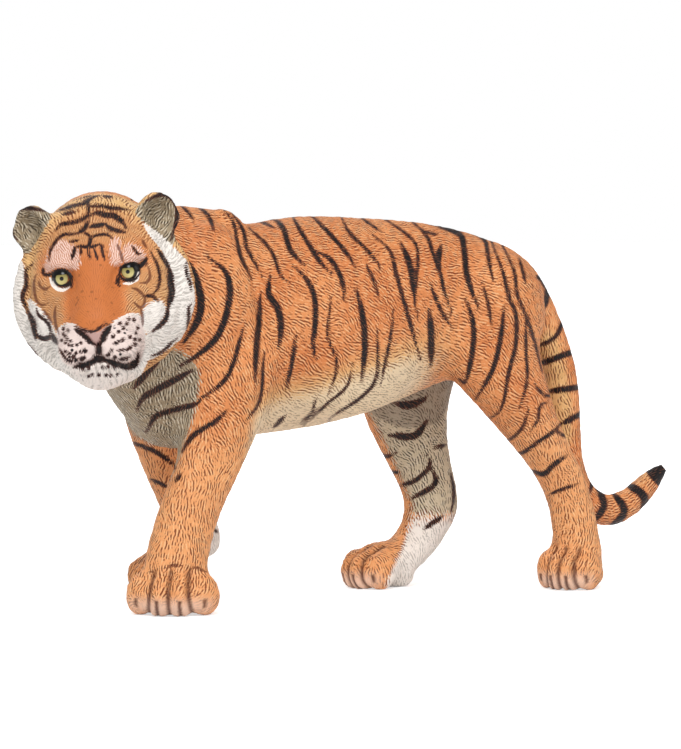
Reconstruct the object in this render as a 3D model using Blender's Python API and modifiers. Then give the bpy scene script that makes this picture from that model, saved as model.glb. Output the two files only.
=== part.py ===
"""A walking tiger, moulded as one solid piece with its head turned to its left.

Sizes are in millimetres and become metres where a mesh is made. The tiger walks
towards -X, its left side faces -Y, and its soles stand on Z = 0.
"""

import math

import bmesh
import bpy
import numpy as np
from mathutils import Matrix, Vector
from mathutils.kdtree import KDTree

MM = 0.001

# Overall sizes
TRUNK_HALF_WIDTH = 14.2
NECK_HALF_WIDTH = 11.5
FRONT_TRACK = 9.4
REAR_TRACK = 10.2
SOLE_CUT = 0.0

# Legs: half widths across the body, where the bone lies nearest the skin
FORELEG_HALF_WIDTH = 4.6
HINDLEG_HALF_WIDTH = 3.9

# Paws
FORE_PAW_WIDTH = 17.0
HIND_PAW_WIDTH = 12.8
TOE_COUNT = 4
TOE_HEIGHT = 6.8
HEEL_LIFT = 24.0

# Head, in a frame of its own: the point between the eyes, which side the face points, and its tilt
FACE_POINT = (-58.9, -17.0, 60.7)
FACE_TURN = -35.3
FACE_NOD = 3.0
FACE_ROLL = -6.0
EYE_SPACING = 11.5
EYE_RADIUS = 2.0
NOSE_REACH = 11.6
EAR_SPACING = 23.0
EAR_WIDTH = 8.4
EAR_HEIGHT = 9.0
EAR_DEPTH = 4.2
EAR_WALL = 1.3
RUFF_HALF_WIDTH = 12.6

# Tail
TAIL_ROOT_RADIUS = 4.3
TAIL_MIDDLE_RADIUS = 3.4
TAIL_TIP_RADIUS = 2.1

# Mesh
ROUGH_VOXEL = 0.6
FINE_VOXEL = 0.42
CAGE_SIDES = 12
CAGE_LEVELS = 2
BODY_SMOOTHING = 22
HEAD_SMOOTHING = 2
PAW_TOP = 8.4
HEAD_TRIANGLES = 3900
PAW_TRIANGLES = 1150
BODY_TRIANGLES = 4700


# Carving, as lines seen from one side: X across, Z up, then the width and depth of the tool
EYE_LIDS = [
    ([(3.3, -1.4), (4.2, 0.9), (5.8, 1.9), (7.4, 1.3), (8.6, 0.3)], 0.7, 0.55),
    ([(3.3, -1.4), (4.8, -1.9), (6.4, -1.9), (7.9, -0.7)], 0.7, 0.5),
    ([(3.4, -1.2), (2.9, -3.2), (3.4, -5.4)], 1.0, 0.35),
]
MUZZLE_LINES = [
    ([(1.1, -11.2), (2.0, -10.9), (2.6, -10.2)], 0.7, 0.7),
    ([(0.0, -13.0), (0.0, -15.6)], 0.75, 1.0),
    ([(0.0, -15.4), (2.0, -16.4), (4.4, -16.7), (6.4, -15.6), (7.6, -13.2)], 0.85, 1.1),
    ([(3.4, -9.6), (2.4, -12.2), (0.6, -13.6)], 0.6, 0.5),
    ([(4.4, -3.4), (5.0, -6.0), (6.2, -8.8)], 1.6, 0.3),
]
CHEEK_LINES = [
    ([(10.9, 7.0), (12.8, 2.0), (13.0, -4.0), (11.2, -9.6), (8.4, -13.4)], 1.2, 0.7),
]
EYE_SOCKET = ([(4.6, -0.3), (7.4, 0.3)], 3.4, 1.9)
RUFF_TUFTS = 12
RUFF_TOP = 30.0
RUFF_BOTTOM = -56.0
TUFT_WIDTH = 0.8
TUFT_DEPTH = 0.4
TOE_GAP_WIDTH = 0.9
TOE_GAP_DEPTH = 0.55
FLANK_LINES = [
    ([(-25.8, 67.0), (-23.9, 60.0), (-22.9, 50.0), (-23.2, 41.0), (-24.4, 33.5)], 1.5, 0.9),
    ([(-26.5, 53.0), (-28.9, 45.0), (-31.5, 41.5), (-35.4, 38.4)], 1.7, 0.6),
    ([(20.5, 60.0), (17.0, 53.0), (16.0, 46.0), (19.0, 40.5)], 2.6, 0.4),
    ([(-12.0, 58.0), (-10.0, 48.0), (-12.0, 38.0)], 2.6, 0.25),
    ([(37.5, 36.0), (42.5, 28.0), (46.0, 21.0)], 1.5, 0.3),
]
PAW_PLACES = []


def new_collection(name):
    collection = bpy.data.collections.new(name)
    bpy.context.scene.collection.children.link(collection)
    return collection


def clear_scene():
    for obj in list(bpy.data.objects):
        bpy.data.objects.remove(obj)


def object_from(bm, name, collection):
    mesh = bpy.data.meshes.new(name)
    bm.to_mesh(mesh)
    bm.free()
    obj = bpy.data.objects.new(name, mesh)
    collection.objects.link(obj)
    return obj


def hide_as_helper(obj):
    obj.hide_render = True
    obj.display_type = "WIRE"


def mass(name, collection, centre, radii, turn=(0.0, 0.0, 0.0), place=Matrix.Identity(4)):
    """One rounded muscle or pad: an ellipsoid of these radii, turned by degrees about X, Y and Z."""
    bm = bmesh.new()
    bmesh.ops.create_uvsphere(bm, u_segments=24, v_segments=14, radius=MM)
    spin = Matrix.Rotation(math.radians(turn[2]), 4, "Z")
    spin = spin @ Matrix.Rotation(math.radians(turn[1]), 4, "Y")
    spin = spin @ Matrix.Rotation(math.radians(turn[0]), 4, "X")
    shift = Matrix.Translation(Vector(centre) * MM)
    bm.transform(place @ shift @ spin @ Matrix.Diagonal((*radii, 1.0)))
    obj = object_from(bm, name, collection)
    hide_as_helper(obj)
    return obj


def loft(name, collection, rings, place=Matrix.Identity(4)):
    """A closed soft form through rings, each a centre and two half axes, in millimetres.

    The cage is a little larger than the rings, by what Subdivision Surface takes off.
    """
    spread = 3.0 / (2.0 + math.cos(2.0 * math.pi / CAGE_SIDES))
    bm = bmesh.new()
    loops = []
    for centre, side, up in rings:
        loop = []
        for k in range(CAGE_SIDES):
            angle = 2.0 * math.pi * k / CAGE_SIDES
            reach = Vector(side) * math.cos(angle) + Vector(up) * math.sin(angle)
            loop.append(bm.verts.new((Vector(centre) + reach * spread) * MM))
        loops.append(loop)
    for first, second in zip(loops, loops[1:]):
        for k in range(CAGE_SIDES):
            after = (k + 1) % CAGE_SIDES
            bm.faces.new((first[k], first[after], second[after], second[k]))
    bm.faces.new(reversed(loops[0]))
    bm.faces.new(loops[-1])
    bmesh.ops.recalc_face_normals(bm, faces=bm.faces)
    bm.transform(place)
    obj = object_from(bm, name, collection)
    rounding = obj.modifiers.new("rounding", "SUBSURF")
    rounding.levels = CAGE_LEVELS
    rounding.render_levels = CAGE_LEVELS
    hide_as_helper(obj)
    return obj


def tube(name, collection, points, radii, place=Matrix.Identity(4)):
    """A round rope-like form whose radius changes along it, such as the tail or the ruff."""
    curve = bpy.data.curves.new(name, "CURVE")
    curve.dimensions = "3D"
    curve.bevel_depth = MM
    curve.bevel_resolution = 4
    curve.resolution_u = 8
    curve.use_fill_caps = True
    spline = curve.splines.new("BEZIER")
    spline.bezier_points.add(len(points) - 1)
    for knot, point, radius in zip(spline.bezier_points, points, radii):
        knot.co = place @ (Vector(point) * MM)
        knot.radius = radius
        knot.handle_left_type = "AUTO"
        knot.handle_right_type = "AUTO"
    curve_obj = bpy.data.objects.new(name + "_path", curve)
    collection.objects.link(curve_obj)
    bpy.context.view_layer.update()
    graph = bpy.context.evaluated_depsgraph_get()
    mesh = bpy.data.meshes.new_from_object(curve_obj.evaluated_get(graph))
    bpy.data.objects.remove(curve_obj)
    bm = bmesh.new()
    bm.from_mesh(mesh)
    bmesh.ops.remove_doubles(bm, verts=bm.verts, dist=0.00001)
    bmesh.ops.recalc_face_normals(bm, faces=bm.faces)
    obj = object_from(bm, name, collection)
    hide_as_helper(obj)
    return obj


def upright_rings(stations):
    """Rings across the trunk: place along X, top, bottom, half width and the middle's Y."""
    rings = []
    for x, top, bottom, half_width, y in stations:
        half_height = (top - bottom) / 2.0
        rings.append(((x, y, bottom + half_height), (0.0, half_width, 0.0), (0.0, 0.0, half_height)))
    return rings


def level_rings(stations):
    """Rings down a leg: height, centre X, centre Y, half length along X and half width along Y."""
    return [((x, y, z), (half_x, 0.0, 0.0), (0.0, half_y, 0.0)) for z, x, y, half_x, half_y in stations]


def build_trunk(collection):
    """Neck, chest, barrel and rump as one form, and the muscles that stand out of it."""
    broad = TRUNK_HALF_WIDTH
    neck = NECK_HALF_WIDTH
    stations = [
        (-57.0, 66.0, 50.0, neck - 4.5, -9.5),
        (-53.0, 70.5, 44.5, neck - 0.8, -7.5),
        (-47.5, 72.6, 37.5, neck, -4.5),
        (-42.0, 72.9, 32.0, neck + 0.3, -2.0),
        (-36.0, 73.0, 29.2, neck + 0.8, -0.5),
        (-29.0, 72.8, 29.0, broad - 1.4, 0.0),
        (-24.0, 71.4, 29.8, broad - 1.0, 0.0),
        (-19.5, 68.9, 30.5, broad - 0.7, 0.0),
        (-15.0, 69.9, 30.8, broad - 0.4, 0.0),
        (-10.0, 70.9, 31.2, broad - 0.1, 0.0),
        (-2.0, 71.0, 32.0, broad, 0.0),
        (8.0, 70.5, 34.2, broad - 0.2, 0.0),
        (18.0, 70.0, 37.6, broad - 1.2, 0.0),
        (28.0, 68.4, 41.0, broad - 2.2, 0.0),
        (37.0, 65.6, 43.0, broad - 3.6, 0.0),
        (43.0, 61.8, 45.0, broad - 6.2, 0.0),
        (46.5, 57.5, 48.0, broad - 9.4, 0.0),
    ]
    loft("trunk", collection, upright_rings(stations))
    mass("breast", collection, (-34.3, 0.0, 40.0), (9.6, 10.5, 11.5))
    for side, word in ((-1, "left"), (1, "right")):
        blade_x = -30.0 if side < 0 else -31.5
        haunch_x = 30.0 if side < 0 else 26.5
        mass(f"shoulder_{word}", collection, (blade_x, side * 8.4, 53.0), (9.0, 6.6, 17.0), (0, -6, 0))
        mass(f"haunch_{word}", collection, (haunch_x, side * 8.0, 52.5), (12.0, 7.2, 12.5), (0, 16, 0))
        mass(f"ribs_{word}", collection, (-3.0, side * 7.2, 48.0), (19.0, 7.6, 14.5))
        mass(f"blade_{word}", collection, (blade_x + 3.6, side * 4.4, 61.0), (7.2, 4.2, 11.8))


def build_paw(name, collection, toe_point, turn, width, reach, lift=0.0):
    """A paw around the point under its middle: a back, a heel and the toes in an arc in front."""
    place = Matrix.Translation(Vector(toe_point) * MM) @ Matrix.Rotation(math.radians(turn), 4, "Z")
    place = place @ Matrix.Rotation(math.radians(lift), 4, "X")
    PAW_PLACES.append((place, width, reach))
    half = width / 2.0
    toe_radius = width / (2.0 * TOE_COUNT) * 1.22
    mass(f"{name}_back", collection, (0.0, 1.0, 4.4), (half * 0.86, reach * 0.72, 4.6), place=place)
    mass(f"{name}_heel", collection, (0.0, reach * 0.62, 2.3), (half * 0.72, reach * 0.45, 3.2), place=place)
    for k in range(TOE_COUNT):
        across = (k - (TOE_COUNT - 1) / 2.0) / ((TOE_COUNT - 1) / 2.0)
        ahead = -reach * (0.86 - 0.34 * across * across)
        centre = (across * (half - toe_radius), ahead + toe_radius, TOE_HEIGHT / 2.0)
        radii = (toe_radius, reach * 0.42, TOE_HEIGHT / 2.0 + 0.6)
        mass(f"{name}_toe_{k}", collection, centre, radii, (0, 0, -14 * across), place)


def build_legs(collection):
    fore = FORELEG_HALF_WIDTH
    hind = HINDLEG_HALF_WIDTH
    left_front = [
        (50.0, -26.5, -FRONT_TRACK + 0.6, 10.5, fore + 1.9),
        (42.0, -27.2, -FRONT_TRACK + 0.2, 9.6, fore + 1.6),
        (35.5, -28.4, -FRONT_TRACK, 8.2, fore + 1.0),
        (29.0, -30.6, -FRONT_TRACK, 6.9, fore + 0.5),
        (24.0, -32.8, -FRONT_TRACK, 6.6, fore + 0.3),
        (18.5, -35.8, -FRONT_TRACK, 6.2, fore + 0.2),
        (13.0, -37.8, -FRONT_TRACK, 6.0, fore + 0.4),
        (7.5, -39.0, -FRONT_TRACK, 6.0, fore + 0.9),
        (3.0, -39.6, -FRONT_TRACK, 5.8, fore + 0.7),
    ]
    right_front = [
        (50.0, -29.5, FRONT_TRACK - 0.6, 10.0, fore + 1.9),
        (42.0, -30.5, FRONT_TRACK - 0.2, 9.2, fore + 1.6),
        (35.0, -31.0, FRONT_TRACK, 8.0, fore + 1.0),
        (29.0, -30.2, FRONT_TRACK, 6.6, fore + 0.4),
        (23.0, -28.4, FRONT_TRACK, 5.6, fore),
        (17.0, -25.9, FRONT_TRACK, 5.1, fore - 0.2),
        (12.5, -23.8, FRONT_TRACK, 4.9, fore - 0.1),
        (9.6, -23.2, FRONT_TRACK, 4.7, fore + 0.3),
        (7.6, -25.0, FRONT_TRACK, 4.6, fore + 0.4),
    ]
    left_hind = [
        (53.0, 27.5, -REAR_TRACK + 2.4, 12.4, hind + 2.2),
        (46.0, 28.4, -REAR_TRACK + 1.2, 11.6, hind + 2.4),
        (39.5, 31.2, -REAR_TRACK + 0.4, 9.6, hind + 2.2),
        (33.0, 36.0, -REAR_TRACK, 7.2, hind + 1.7),
        (27.0, 40.4, -REAR_TRACK, 5.7, hind + 1.0),
        (22.0, 44.6, -REAR_TRACK, 5.2, hind + 0.3),
        (17.0, 47.0, -REAR_TRACK, 4.8, hind),
        (12.0, 48.3, -REAR_TRACK, 4.7, hind + 0.1),
        (7.0, 48.8, -REAR_TRACK, 4.9, hind + 0.7),
        (3.0, 48.6, -REAR_TRACK, 5.3, hind + 0.9),
    ]
    right_hind = [
        (52.0, 27.0, REAR_TRACK - 2.4, 12.5, hind + 2.2),
        (45.0, 23.8, REAR_TRACK - 1.2, 11.6, hind + 2.4),
        (39.0, 22.6, REAR_TRACK - 0.4, 10.4, hind + 2.2),
        (33.0, 22.6, REAR_TRACK, 9.2, hind + 1.7),
        (27.6, 24.3, REAR_TRACK, 7.7, hind + 1.0),
        (21.8, 26.7, REAR_TRACK, 6.7, hind + 0.3),
        (16.6, 29.3, REAR_TRACK, 6.0, hind - 0.1),
        (12.5, 28.7, REAR_TRACK, 5.8, hind),
        (9.0, 26.0, REAR_TRACK, 5.6, hind + 0.3),
        (5.6, 21.8, REAR_TRACK, 6.4, hind + 0.8),
        (2.6, 19.0, REAR_TRACK, 5.8, hind + 0.8),
    ]
    legs = {
        "left_front": left_front,
        "right_front": right_front,
        "left_hind": left_hind,
        "right_hind": right_hind,
    }
    for name, stations in legs.items():
        loft(f"{name}_leg", collection, level_rings(stations))
    build_paw("left_front_paw", collection, (-39.5, -FRONT_TRACK - 0.8, 0.0), -38.0, FORE_PAW_WIDTH, 8.8)
    raised = (-29.4, FRONT_TRACK, 1.6)
    build_paw("right_front_paw", collection, raised, -80.0, FORE_PAW_WIDTH - 3.0, 7.4, HEEL_LIFT)
    build_paw("left_hind_paw", collection, (47.2, -REAR_TRACK - 0.6, 0.0), -58.0, HIND_PAW_WIDTH, 7.8)
    build_paw("right_hind_paw", collection, (16.2, REAR_TRACK, 0.0), -86.0, HIND_PAW_WIDTH, 7.4)


def build_tail(collection):
    """The tail hangs behind the left haunch and curls out behind the heel."""
    route = [
        (34.0, 0.0, 62.6),
        (40.0, -0.8, 59.6),
        (43.9, -3.0, 53.2),
        (46.4, -4.2, 47.0),
        (48.6, -4.8, 40.0),
        (49.3, -5.2, 31.0),
        (50.2, -5.2, 22.5),
        (54.0, -5.2, 16.2),
        (59.6, -5.0, 13.9),
        (64.8, -4.8, 15.2),
        (69.6, -4.4, 18.5),
        (74.4, -4.0, 22.2),
    ]
    root, middle, tip = TAIL_ROOT_RADIUS, TAIL_MIDDLE_RADIUS, TAIL_TIP_RADIUS
    radii = [root, root, root - 0.4, root - 0.6, middle + 0.1, middle, middle, middle, middle]
    radii += [middle - 0.3, tip + 0.6, tip * 0.75]
    tube("tail", collection, route, radii)


def head_place():
    place = Matrix.Translation(Vector(FACE_POINT) * MM)
    place = place @ Matrix.Rotation(math.radians(FACE_TURN), 4, "Z")
    place = place @ Matrix.Rotation(math.radians(FACE_NOD), 4, "X")
    return place @ Matrix.Rotation(math.radians(FACE_ROLL), 4, "Y")


def build_head(collection):
    """The head in its own frame: X to its left, -Y out of the face, Z up, from between the eyes."""
    place = head_place()
    slices = [
        (21.0, 3.0, 6.0, 8.0),
        (17.0, 1.6, 10.6, 12.2),
        (12.0, 0.0, 12.8, 14.2),
        (7.0, -1.7, 13.2, 15.0),
        (3.4, -3.6, 12.3, 14.0),
        (0.8, -6.0, 10.4, 12.0),
        (-1.8, -8.2, 8.6, 10.0),
        (-4.8, -10.2, 7.4, 8.2),
        (-7.6, -11.8, 6.5, 6.6),
        (-9.8, -12.6, 5.0, 5.0),
        (-10.8, -12.8, 3.2, 3.4),
    ]
    rings = [((0.0, y, z), (half, 0.0, 0.0), (0.0, 0.0, tall)) for y, z, half, tall in slices]
    loft("skull", collection, rings, place)
    tip = -NOSE_REACH
    bridge = [
        ((0.0, 2.0, 6.4), (3.8, 0.0, 0.0), (0.0, -1.1, 1.4)),
        ((0.0, -0.6, 2.4), (3.9, 0.0, 0.0), (0.0, -1.3, 1.5)),
        ((0.0, -3.4, -1.4), (4.0, 0.0, 0.0), (0.0, -1.3, 1.6)),
        ((0.0, -6.2, -4.6), (3.9, 0.0, 0.0), (0.0, -1.2, 1.7)),
        ((0.0, tip + 2.6, -7.8), (3.6, 0.0, 0.0), (0.0, -1.2, 1.9)),
        ((0.0, tip + 1.4, -9.6), (2.9, 0.0, 0.0), (0.0, -0.8, 1.7)),
    ]
    loft("nose_bridge", collection, bridge, place)
    mass("nose", collection, (0.0, tip + 1.6, -11.0), (3.2, 1.5, 2.0), place=place)
    mass("chin", collection, (0.0, -4.6, -16.4), (5.2, 4.4, 3.7), place=place)
    mass("jaw", collection, (0.0, 2.4, -13.6), (8.6, 7.4, 6.4), place=place)
    for side, word in ((-1, "right"), (1, "left")):
        mass(f"pad_{word}", collection, (side * 3.7, tip + 4.2, -12.6), (3.8, 3.9, 3.7), place=place)
        mass(f"cheek_{word}", collection, (side * 9.2, 3.6, -7.0), (4.0, 4.4, 6.6), place=place)
        build_ear(word, side, collection, place)
    half = RUFF_HALF_WIDTH
    route = [
        (-half + 2.6, 10.0, 6.6),
        (-half + 0.2, 9.4, 1.0),
        (-half, 8.4, -5.2),
        (-half + 2.7, 6.6, -11.2),
        (-half + 7.0, 4.6, -14.6),
        (0.0, 3.6, -15.4),
    ]
    route += [(-x, y, z) for x, y, z in reversed(route[:-1])]
    thick = [1.8, 3.0, 3.9, 3.8, 3.3, 3.0]
    thick += list(reversed(thick[:-1]))
    tube("ruff", collection, route, thick, place)


def build_eyes(collection):
    """Eyeballs and the ridges above and below them, which go in once the sockets are carved."""
    place = head_place()
    for side, word in ((-1, "right"), (1, "left")):
        eye_x = side * EYE_SPACING / 2.0
        mass(f"eyeball_{word}", collection, (eye_x, 1.0, 0.0), (EYE_RADIUS,) * 3, place=place)
        over = (side * 0.2 + eye_x, 1.3, 2.7)
        mass(f"brow_ridge_{word}", collection, over, (3.9, 2.0, 1.6), (24, side * -10, side * 24), place)
        under = (side * 0.4 + eye_x, 0.7, -2.9)
        mass(f"cheekbone_{word}", collection, under, (3.2, 1.9, 1.4), (-14, side * 12, side * 24), place)


def build_ear(word, side, collection, place):
    """A round cup that opens forwards and outwards: a shell, as an open dome with a thickness."""
    bm = bmesh.new()
    bmesh.ops.create_uvsphere(bm, u_segments=24, v_segments=14, radius=MM)
    front = [v for v in bm.verts if v.co.y < -0.3 * MM]
    bmesh.ops.delete(bm, geom=front, context="VERTS")
    bm.transform(Matrix.Diagonal((EAR_WIDTH / 2.0, EAR_DEPTH, EAR_HEIGHT / 2.0, 1.0)))
    spin = Matrix.Rotation(math.radians(side * 30.0), 4, "Y")
    spin = spin @ Matrix.Rotation(math.radians(side * 24.0), 4, "Z")
    spin = spin @ Matrix.Rotation(math.radians(-8.0), 4, "X")
    centre = Vector((side * EAR_SPACING / 2.0, 7.0, 9.0)) * MM
    bm.transform(place @ Matrix.Translation(centre) @ spin)
    obj = object_from(bm, f"ear_{word}", collection)
    wall = obj.modifiers.new("wall", "SOLIDIFY")
    wall.thickness = EAR_WALL * MM
    wall.offset = -1.0
    hide_as_helper(obj)


def evaluated_mesh(obj):
    bpy.context.view_layer.update()
    graph = bpy.context.evaluated_depsgraph_get()
    return bpy.data.meshes.new_from_object(obj.evaluated_get(graph))


def merge_forms(objects, collection, voxel):
    """These objects fused into one skin by a voxel remesh."""
    bm = bmesh.new()
    for obj in objects:
        mesh = evaluated_mesh(obj)
        bm.from_mesh(mesh)
        bpy.data.meshes.remove(mesh)
    figure = object_from(bm, "fused_forms", collection)
    fuse = figure.modifiers.new("fuse", "REMESH")
    fuse.mode = "VOXEL"
    fuse.voxel_size = voxel * MM
    mesh = evaluated_mesh(figure)
    bpy.data.objects.remove(figure)
    fused = bmesh.new()
    fused.from_mesh(mesh)
    bpy.data.meshes.remove(mesh)
    return fused


def smooth_skin(bm):
    """Softens the joins between forms, on the trunk and legs more than on the head."""
    to_head = head_place().inverted()
    head = [v for v in bm.verts if (to_head @ v.co - Vector((0.0, 4.0, -2.0)) * MM).length < 19.0 * MM]
    paws = [v for v in bm.verts if v.co.z < PAW_TOP * MM]
    kept = set(head) | set(paws)
    rest = [v for v in bm.verts if v not in kept]
    for _ in range(HEAD_SMOOTHING):
        bmesh.ops.smooth_vert(bm, verts=bm.verts, factor=0.5, use_axis_x=True, use_axis_y=True, use_axis_z=True)
    for _ in range(BODY_SMOOTHING):
        bmesh.ops.smooth_vert(bm, verts=rest, factor=0.5, use_axis_x=True, use_axis_y=True, use_axis_z=True)


class Skin:
    """The fused skin as arrays of points and normals in millimetres, for carving."""

    def __init__(self, bm):
        bm.normal_update()
        self.verts = bm.verts[:]
        self.points = np.array([v.co for v in self.verts]) / MM
        self.normals = np.array([v.normal for v in self.verts])
        self.moves = np.zeros_like(self.points)

    def carve(self, view, path, width, depth, mirror=False, near=0.1):
        """Presses a tapered groove along a path, on the skin that faces the view's own -Y side."""
        inverse = np.array(view.inverted())
        seen = self.points * MM @ inverse[:3, :3].T / MM + inverse[:3, 3] / MM
        facing = self.normals @ inverse[:3, :3].T
        signs = (1.0, -1.0) if mirror else (1.0,)
        for sign in signs:
            line = np.array([(x * sign, z) for x, z in path])
            gap, along = distance_to_line(seen[:, (0, 2)], line)
            press = np.clip(1.0 - (gap / width) ** 2, 0.0, None) ** 2
            press *= np.clip(along * (1.0 - along) * 8.0 + 0.35, 0.0, 1.0)
            press *= np.clip((-facing[:, 1] - near) * 3.0, 0.0, 1.0)
            self.moves -= self.normals * (press * depth)[:, None]

    def within(self, view, low, high):
        """Which points lie inside a box given in the view's own frame."""
        inverse = np.array(view.inverted())
        seen = self.points * MM @ inverse[:3, :3].T / MM + inverse[:3, 3] / MM
        return np.all((seen > low) & (seen < high), axis=1)

    def keep_only(self, inside, before):
        """Undoes what was carved outside this part of the skin since the moves were noted."""
        self.moves[~inside] = before[~inside]

    def apply(self):
        self.points += self.moves
        for vert, point in zip(self.verts, self.points):
            vert.co = Vector(point) * MM


def distance_to_line(points, line):
    """Distance of 2-D points to a polyline, and how far along it the nearest place is, from 0 to 1."""
    best = np.full(len(points), 1e9)
    along = np.zeros(len(points))
    lengths = np.linalg.norm(np.diff(line, axis=0), axis=1)
    total = max(lengths.sum(), 1e-9)
    start = 0.0
    for first, second, length in zip(line, line[1:], lengths):
        step = second - first
        t = np.clip((points - first) @ step / max(length * length, 1e-9), 0.0, 1.0)
        gap = np.linalg.norm(points - first - t[:, None] * step, axis=1)
        nearer = gap < best
        best[nearer] = gap[nearer]
        along[nearer] = (start + t[nearer] * length) / total
        start += length
    return best, along


def carve_sockets(skin):
    path, width, depth = EYE_SOCKET
    before = skin.moves.copy()
    skin.carve(head_place(), path, width, depth, mirror=True)
    skin.keep_only(skin.within(head_place(), (-20.0, -16.0, -24.0), (20.0, 8.0, 20.0)), before)


def carve_head(skin):
    place = head_place()
    before = skin.moves.copy()
    for path, width, depth in EYE_LIDS + MUZZLE_LINES + CHEEK_LINES:
        skin.carve(place, path, width, depth, mirror=True)
    for k in range(RUFF_TUFTS):
        turn = math.radians(RUFF_TOP - (RUFF_TOP - RUFF_BOTTOM) * k / (RUFF_TUFTS - 1))
        out = (math.cos(turn), math.sin(turn))
        start = (12.8 * out[0], 12.6 * out[1] - 3.0)
        end = (start[0] + 4.6 * out[0], start[1] + 4.6 * (out[1] - 0.25))
        skin.carve(place, [start, end], TUFT_WIDTH, TUFT_DEPTH, mirror=True, near=-0.6)
    inside = skin.within(place, (-20.0, -16.0, -24.0), (20.0, 14.0, 20.0))
    skin.keep_only(inside, before)


def carve_paws(skin):
    for place, width, reach in PAW_PLACES:
        view = place @ Matrix.Rotation(math.radians(-38.0), 4, "X")
        before = skin.moves.copy()
        for k in range(1, TOE_COUNT):
            x = (k - TOE_COUNT / 2.0) * width / TOE_COUNT * 0.92
            skin.carve(view, [(x * 1.04, -1.5), (x, 3.0), (x * 0.8, 6.6)], TOE_GAP_WIDTH, TOE_GAP_DEPTH)
        inside = skin.within(place, (-width, -reach * 1.4, -1.0), (width, reach * 0.3, 9.0))
        skin.keep_only(inside, before)


def carve_flanks(skin):
    left = Matrix.Identity(4)
    before = skin.moves.copy()
    for path, width, depth in FLANK_LINES:
        skin.carve(left, path, width, depth)
    skin.keep_only(skin.within(left, (-40.0, -30.0, 10.0), (60.0, -2.0, 80.0)), before)
    right = Matrix.Rotation(math.pi, 4, "Z")
    before = skin.moves.copy()
    for path, width, depth in FLANK_LINES:
        skin.carve(right, [(-x, z) for x, z in path], width, depth)
    skin.keep_only(skin.within(left, (-40.0, 2.0, 10.0), (60.0, 30.0, 80.0)), before)


def triangle_zones(skin):
    """The head, the paws and the rest, as the points of each and how many triangles it may keep."""
    head = skin.within(head_place(), (-18.0, -18.0, -24.0), (18.0, 13.0, 20.0))
    paws = skin.points[:, 2] < PAW_TOP
    rest = ~head & ~paws
    return {
        "body": (skin.points[rest], BODY_TRIANGLES),
        "head": (skin.points[head], HEAD_TRIANGLES),
        "paws": (skin.points[paws], PAW_TRIANGLES),
    }


def lighten(figure, zone, members, wanted):
    """Takes triangles from one zone only, until it keeps this many."""
    tree = KDTree(len(members))
    for index, point in enumerate(members):
        tree.insert(point, index)
    tree.balance()
    mesh = figure.data
    inside = {v.index for v in mesh.vertices if tree.find(v.co / MM)[2] < 0.02}
    group = figure.vertex_groups.new(name=zone)
    group.add(sorted(inside), 1.0, "REPLACE")
    zone_faces = sum(len(f.vertices) - 2 for f in mesh.polygons if inside.issuperset(f.vertices))
    whole = sum(len(f.vertices) - 2 for f in mesh.polygons)
    lighter = figure.modifiers.new(zone, "DECIMATE")
    lighter.ratio = (whole - zone_faces + wanted) / whole
    lighter.vertex_group = group.name
    lighter.vertex_group_factor = 1.0
    light = evaluated_mesh(figure)
    figure.modifiers.clear()
    figure.vertex_groups.clear()
    figure.data = light
    bpy.data.meshes.remove(mesh)


def stand_on_centre(bm):
    """Moves the figure so that the middle of its bounding box is over the origin."""
    xs = [v.co.x for v in bm.verts]
    ys = [v.co.y for v in bm.verts]
    middle = Vector((-(min(xs) + max(xs)) / 2.0, -(min(ys) + max(ys)) / 2.0, 0.0))
    bmesh.ops.translate(bm, verts=bm.verts, vec=middle)


def painted(name, colour, roughness):
    material = bpy.data.materials.new(name)
    material.use_nodes = True
    shader = material.node_tree.nodes["Principled BSDF"]
    shader.inputs["Base Color"].default_value = (*colour, 1.0)
    shader.inputs["Roughness"].default_value = roughness
    shader.inputs["Metallic"].default_value = 0.0
    return material


def main():
    clear_scene()
    parts = new_collection("figurine")
    forms = new_collection("forms")
    build_trunk(forms)
    build_legs(forms)
    build_tail(forms)
    build_head(forms)
    bm = merge_forms(list(forms.objects), parts, ROUGH_VOXEL)
    smooth_skin(bm)
    skin = Skin(bm)
    carve_sockets(skin)
    skin.apply()
    rough = object_from(bm, "rough_skin", forms)
    hide_as_helper(rough)
    eyes = new_collection("eyes")
    build_eyes(eyes)
    bm = merge_forms([rough, *eyes.objects], parts, FINE_VOXEL)
    bmesh.ops.smooth_vert(bm, verts=bm.verts, factor=0.5, use_axis_x=True, use_axis_y=True, use_axis_z=True)
    skin = Skin(bm)
    carve_head(skin)
    carve_paws(skin)
    carve_flanks(skin)
    skin.apply()
    zones = triangle_zones(skin)
    figure = object_from(bm, "tiger_figurine", parts)
    for zone, (members, wanted) in zones.items():
        lighten(figure, zone, members, wanted)
    bm = bmesh.new()
    bm.from_mesh(figure.data)
    cut = bmesh.ops.bisect_plane(
        bm,
        geom=bm.verts[:] + bm.edges[:] + bm.faces[:],
        plane_co=(0.0, 0.0, SOLE_CUT * MM),
        plane_no=(0.0, 0.0, 1.0),
        clear_inner=True,
    )
    rims = [e for e in cut["geom_cut"] if isinstance(e, bmesh.types.BMEdge)]
    bmesh.ops.holes_fill(bm, edges=rims, sides=0)
    bmesh.ops.triangulate(bm, faces=[f for f in bm.faces if len(f.verts) > 3])
    stand_on_centre(bm)
    bm.to_mesh(figure.data)
    bm.free()
    figure.data.materials.append(painted("coat_orange", (0.72, 0.33, 0.12), 0.55))
    figure.data.shade_smooth()


main()
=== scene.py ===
"""The looks of a moulded and hand-painted tiger figurine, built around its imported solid.

Sizes are in millimetres unless a name says pixels. The tiger walks towards -X, its left
side faces -Y, and it stands on Z = 0. Paint lines and patches are places in the
reference view, in pixels of its 681 x 749 frame, and are laid on the skin from there.
"""

import math

import bmesh
import bpy
import numpy as np
from mathutils import Matrix, Vector
from mathutils.kdtree import KDTree

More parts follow.
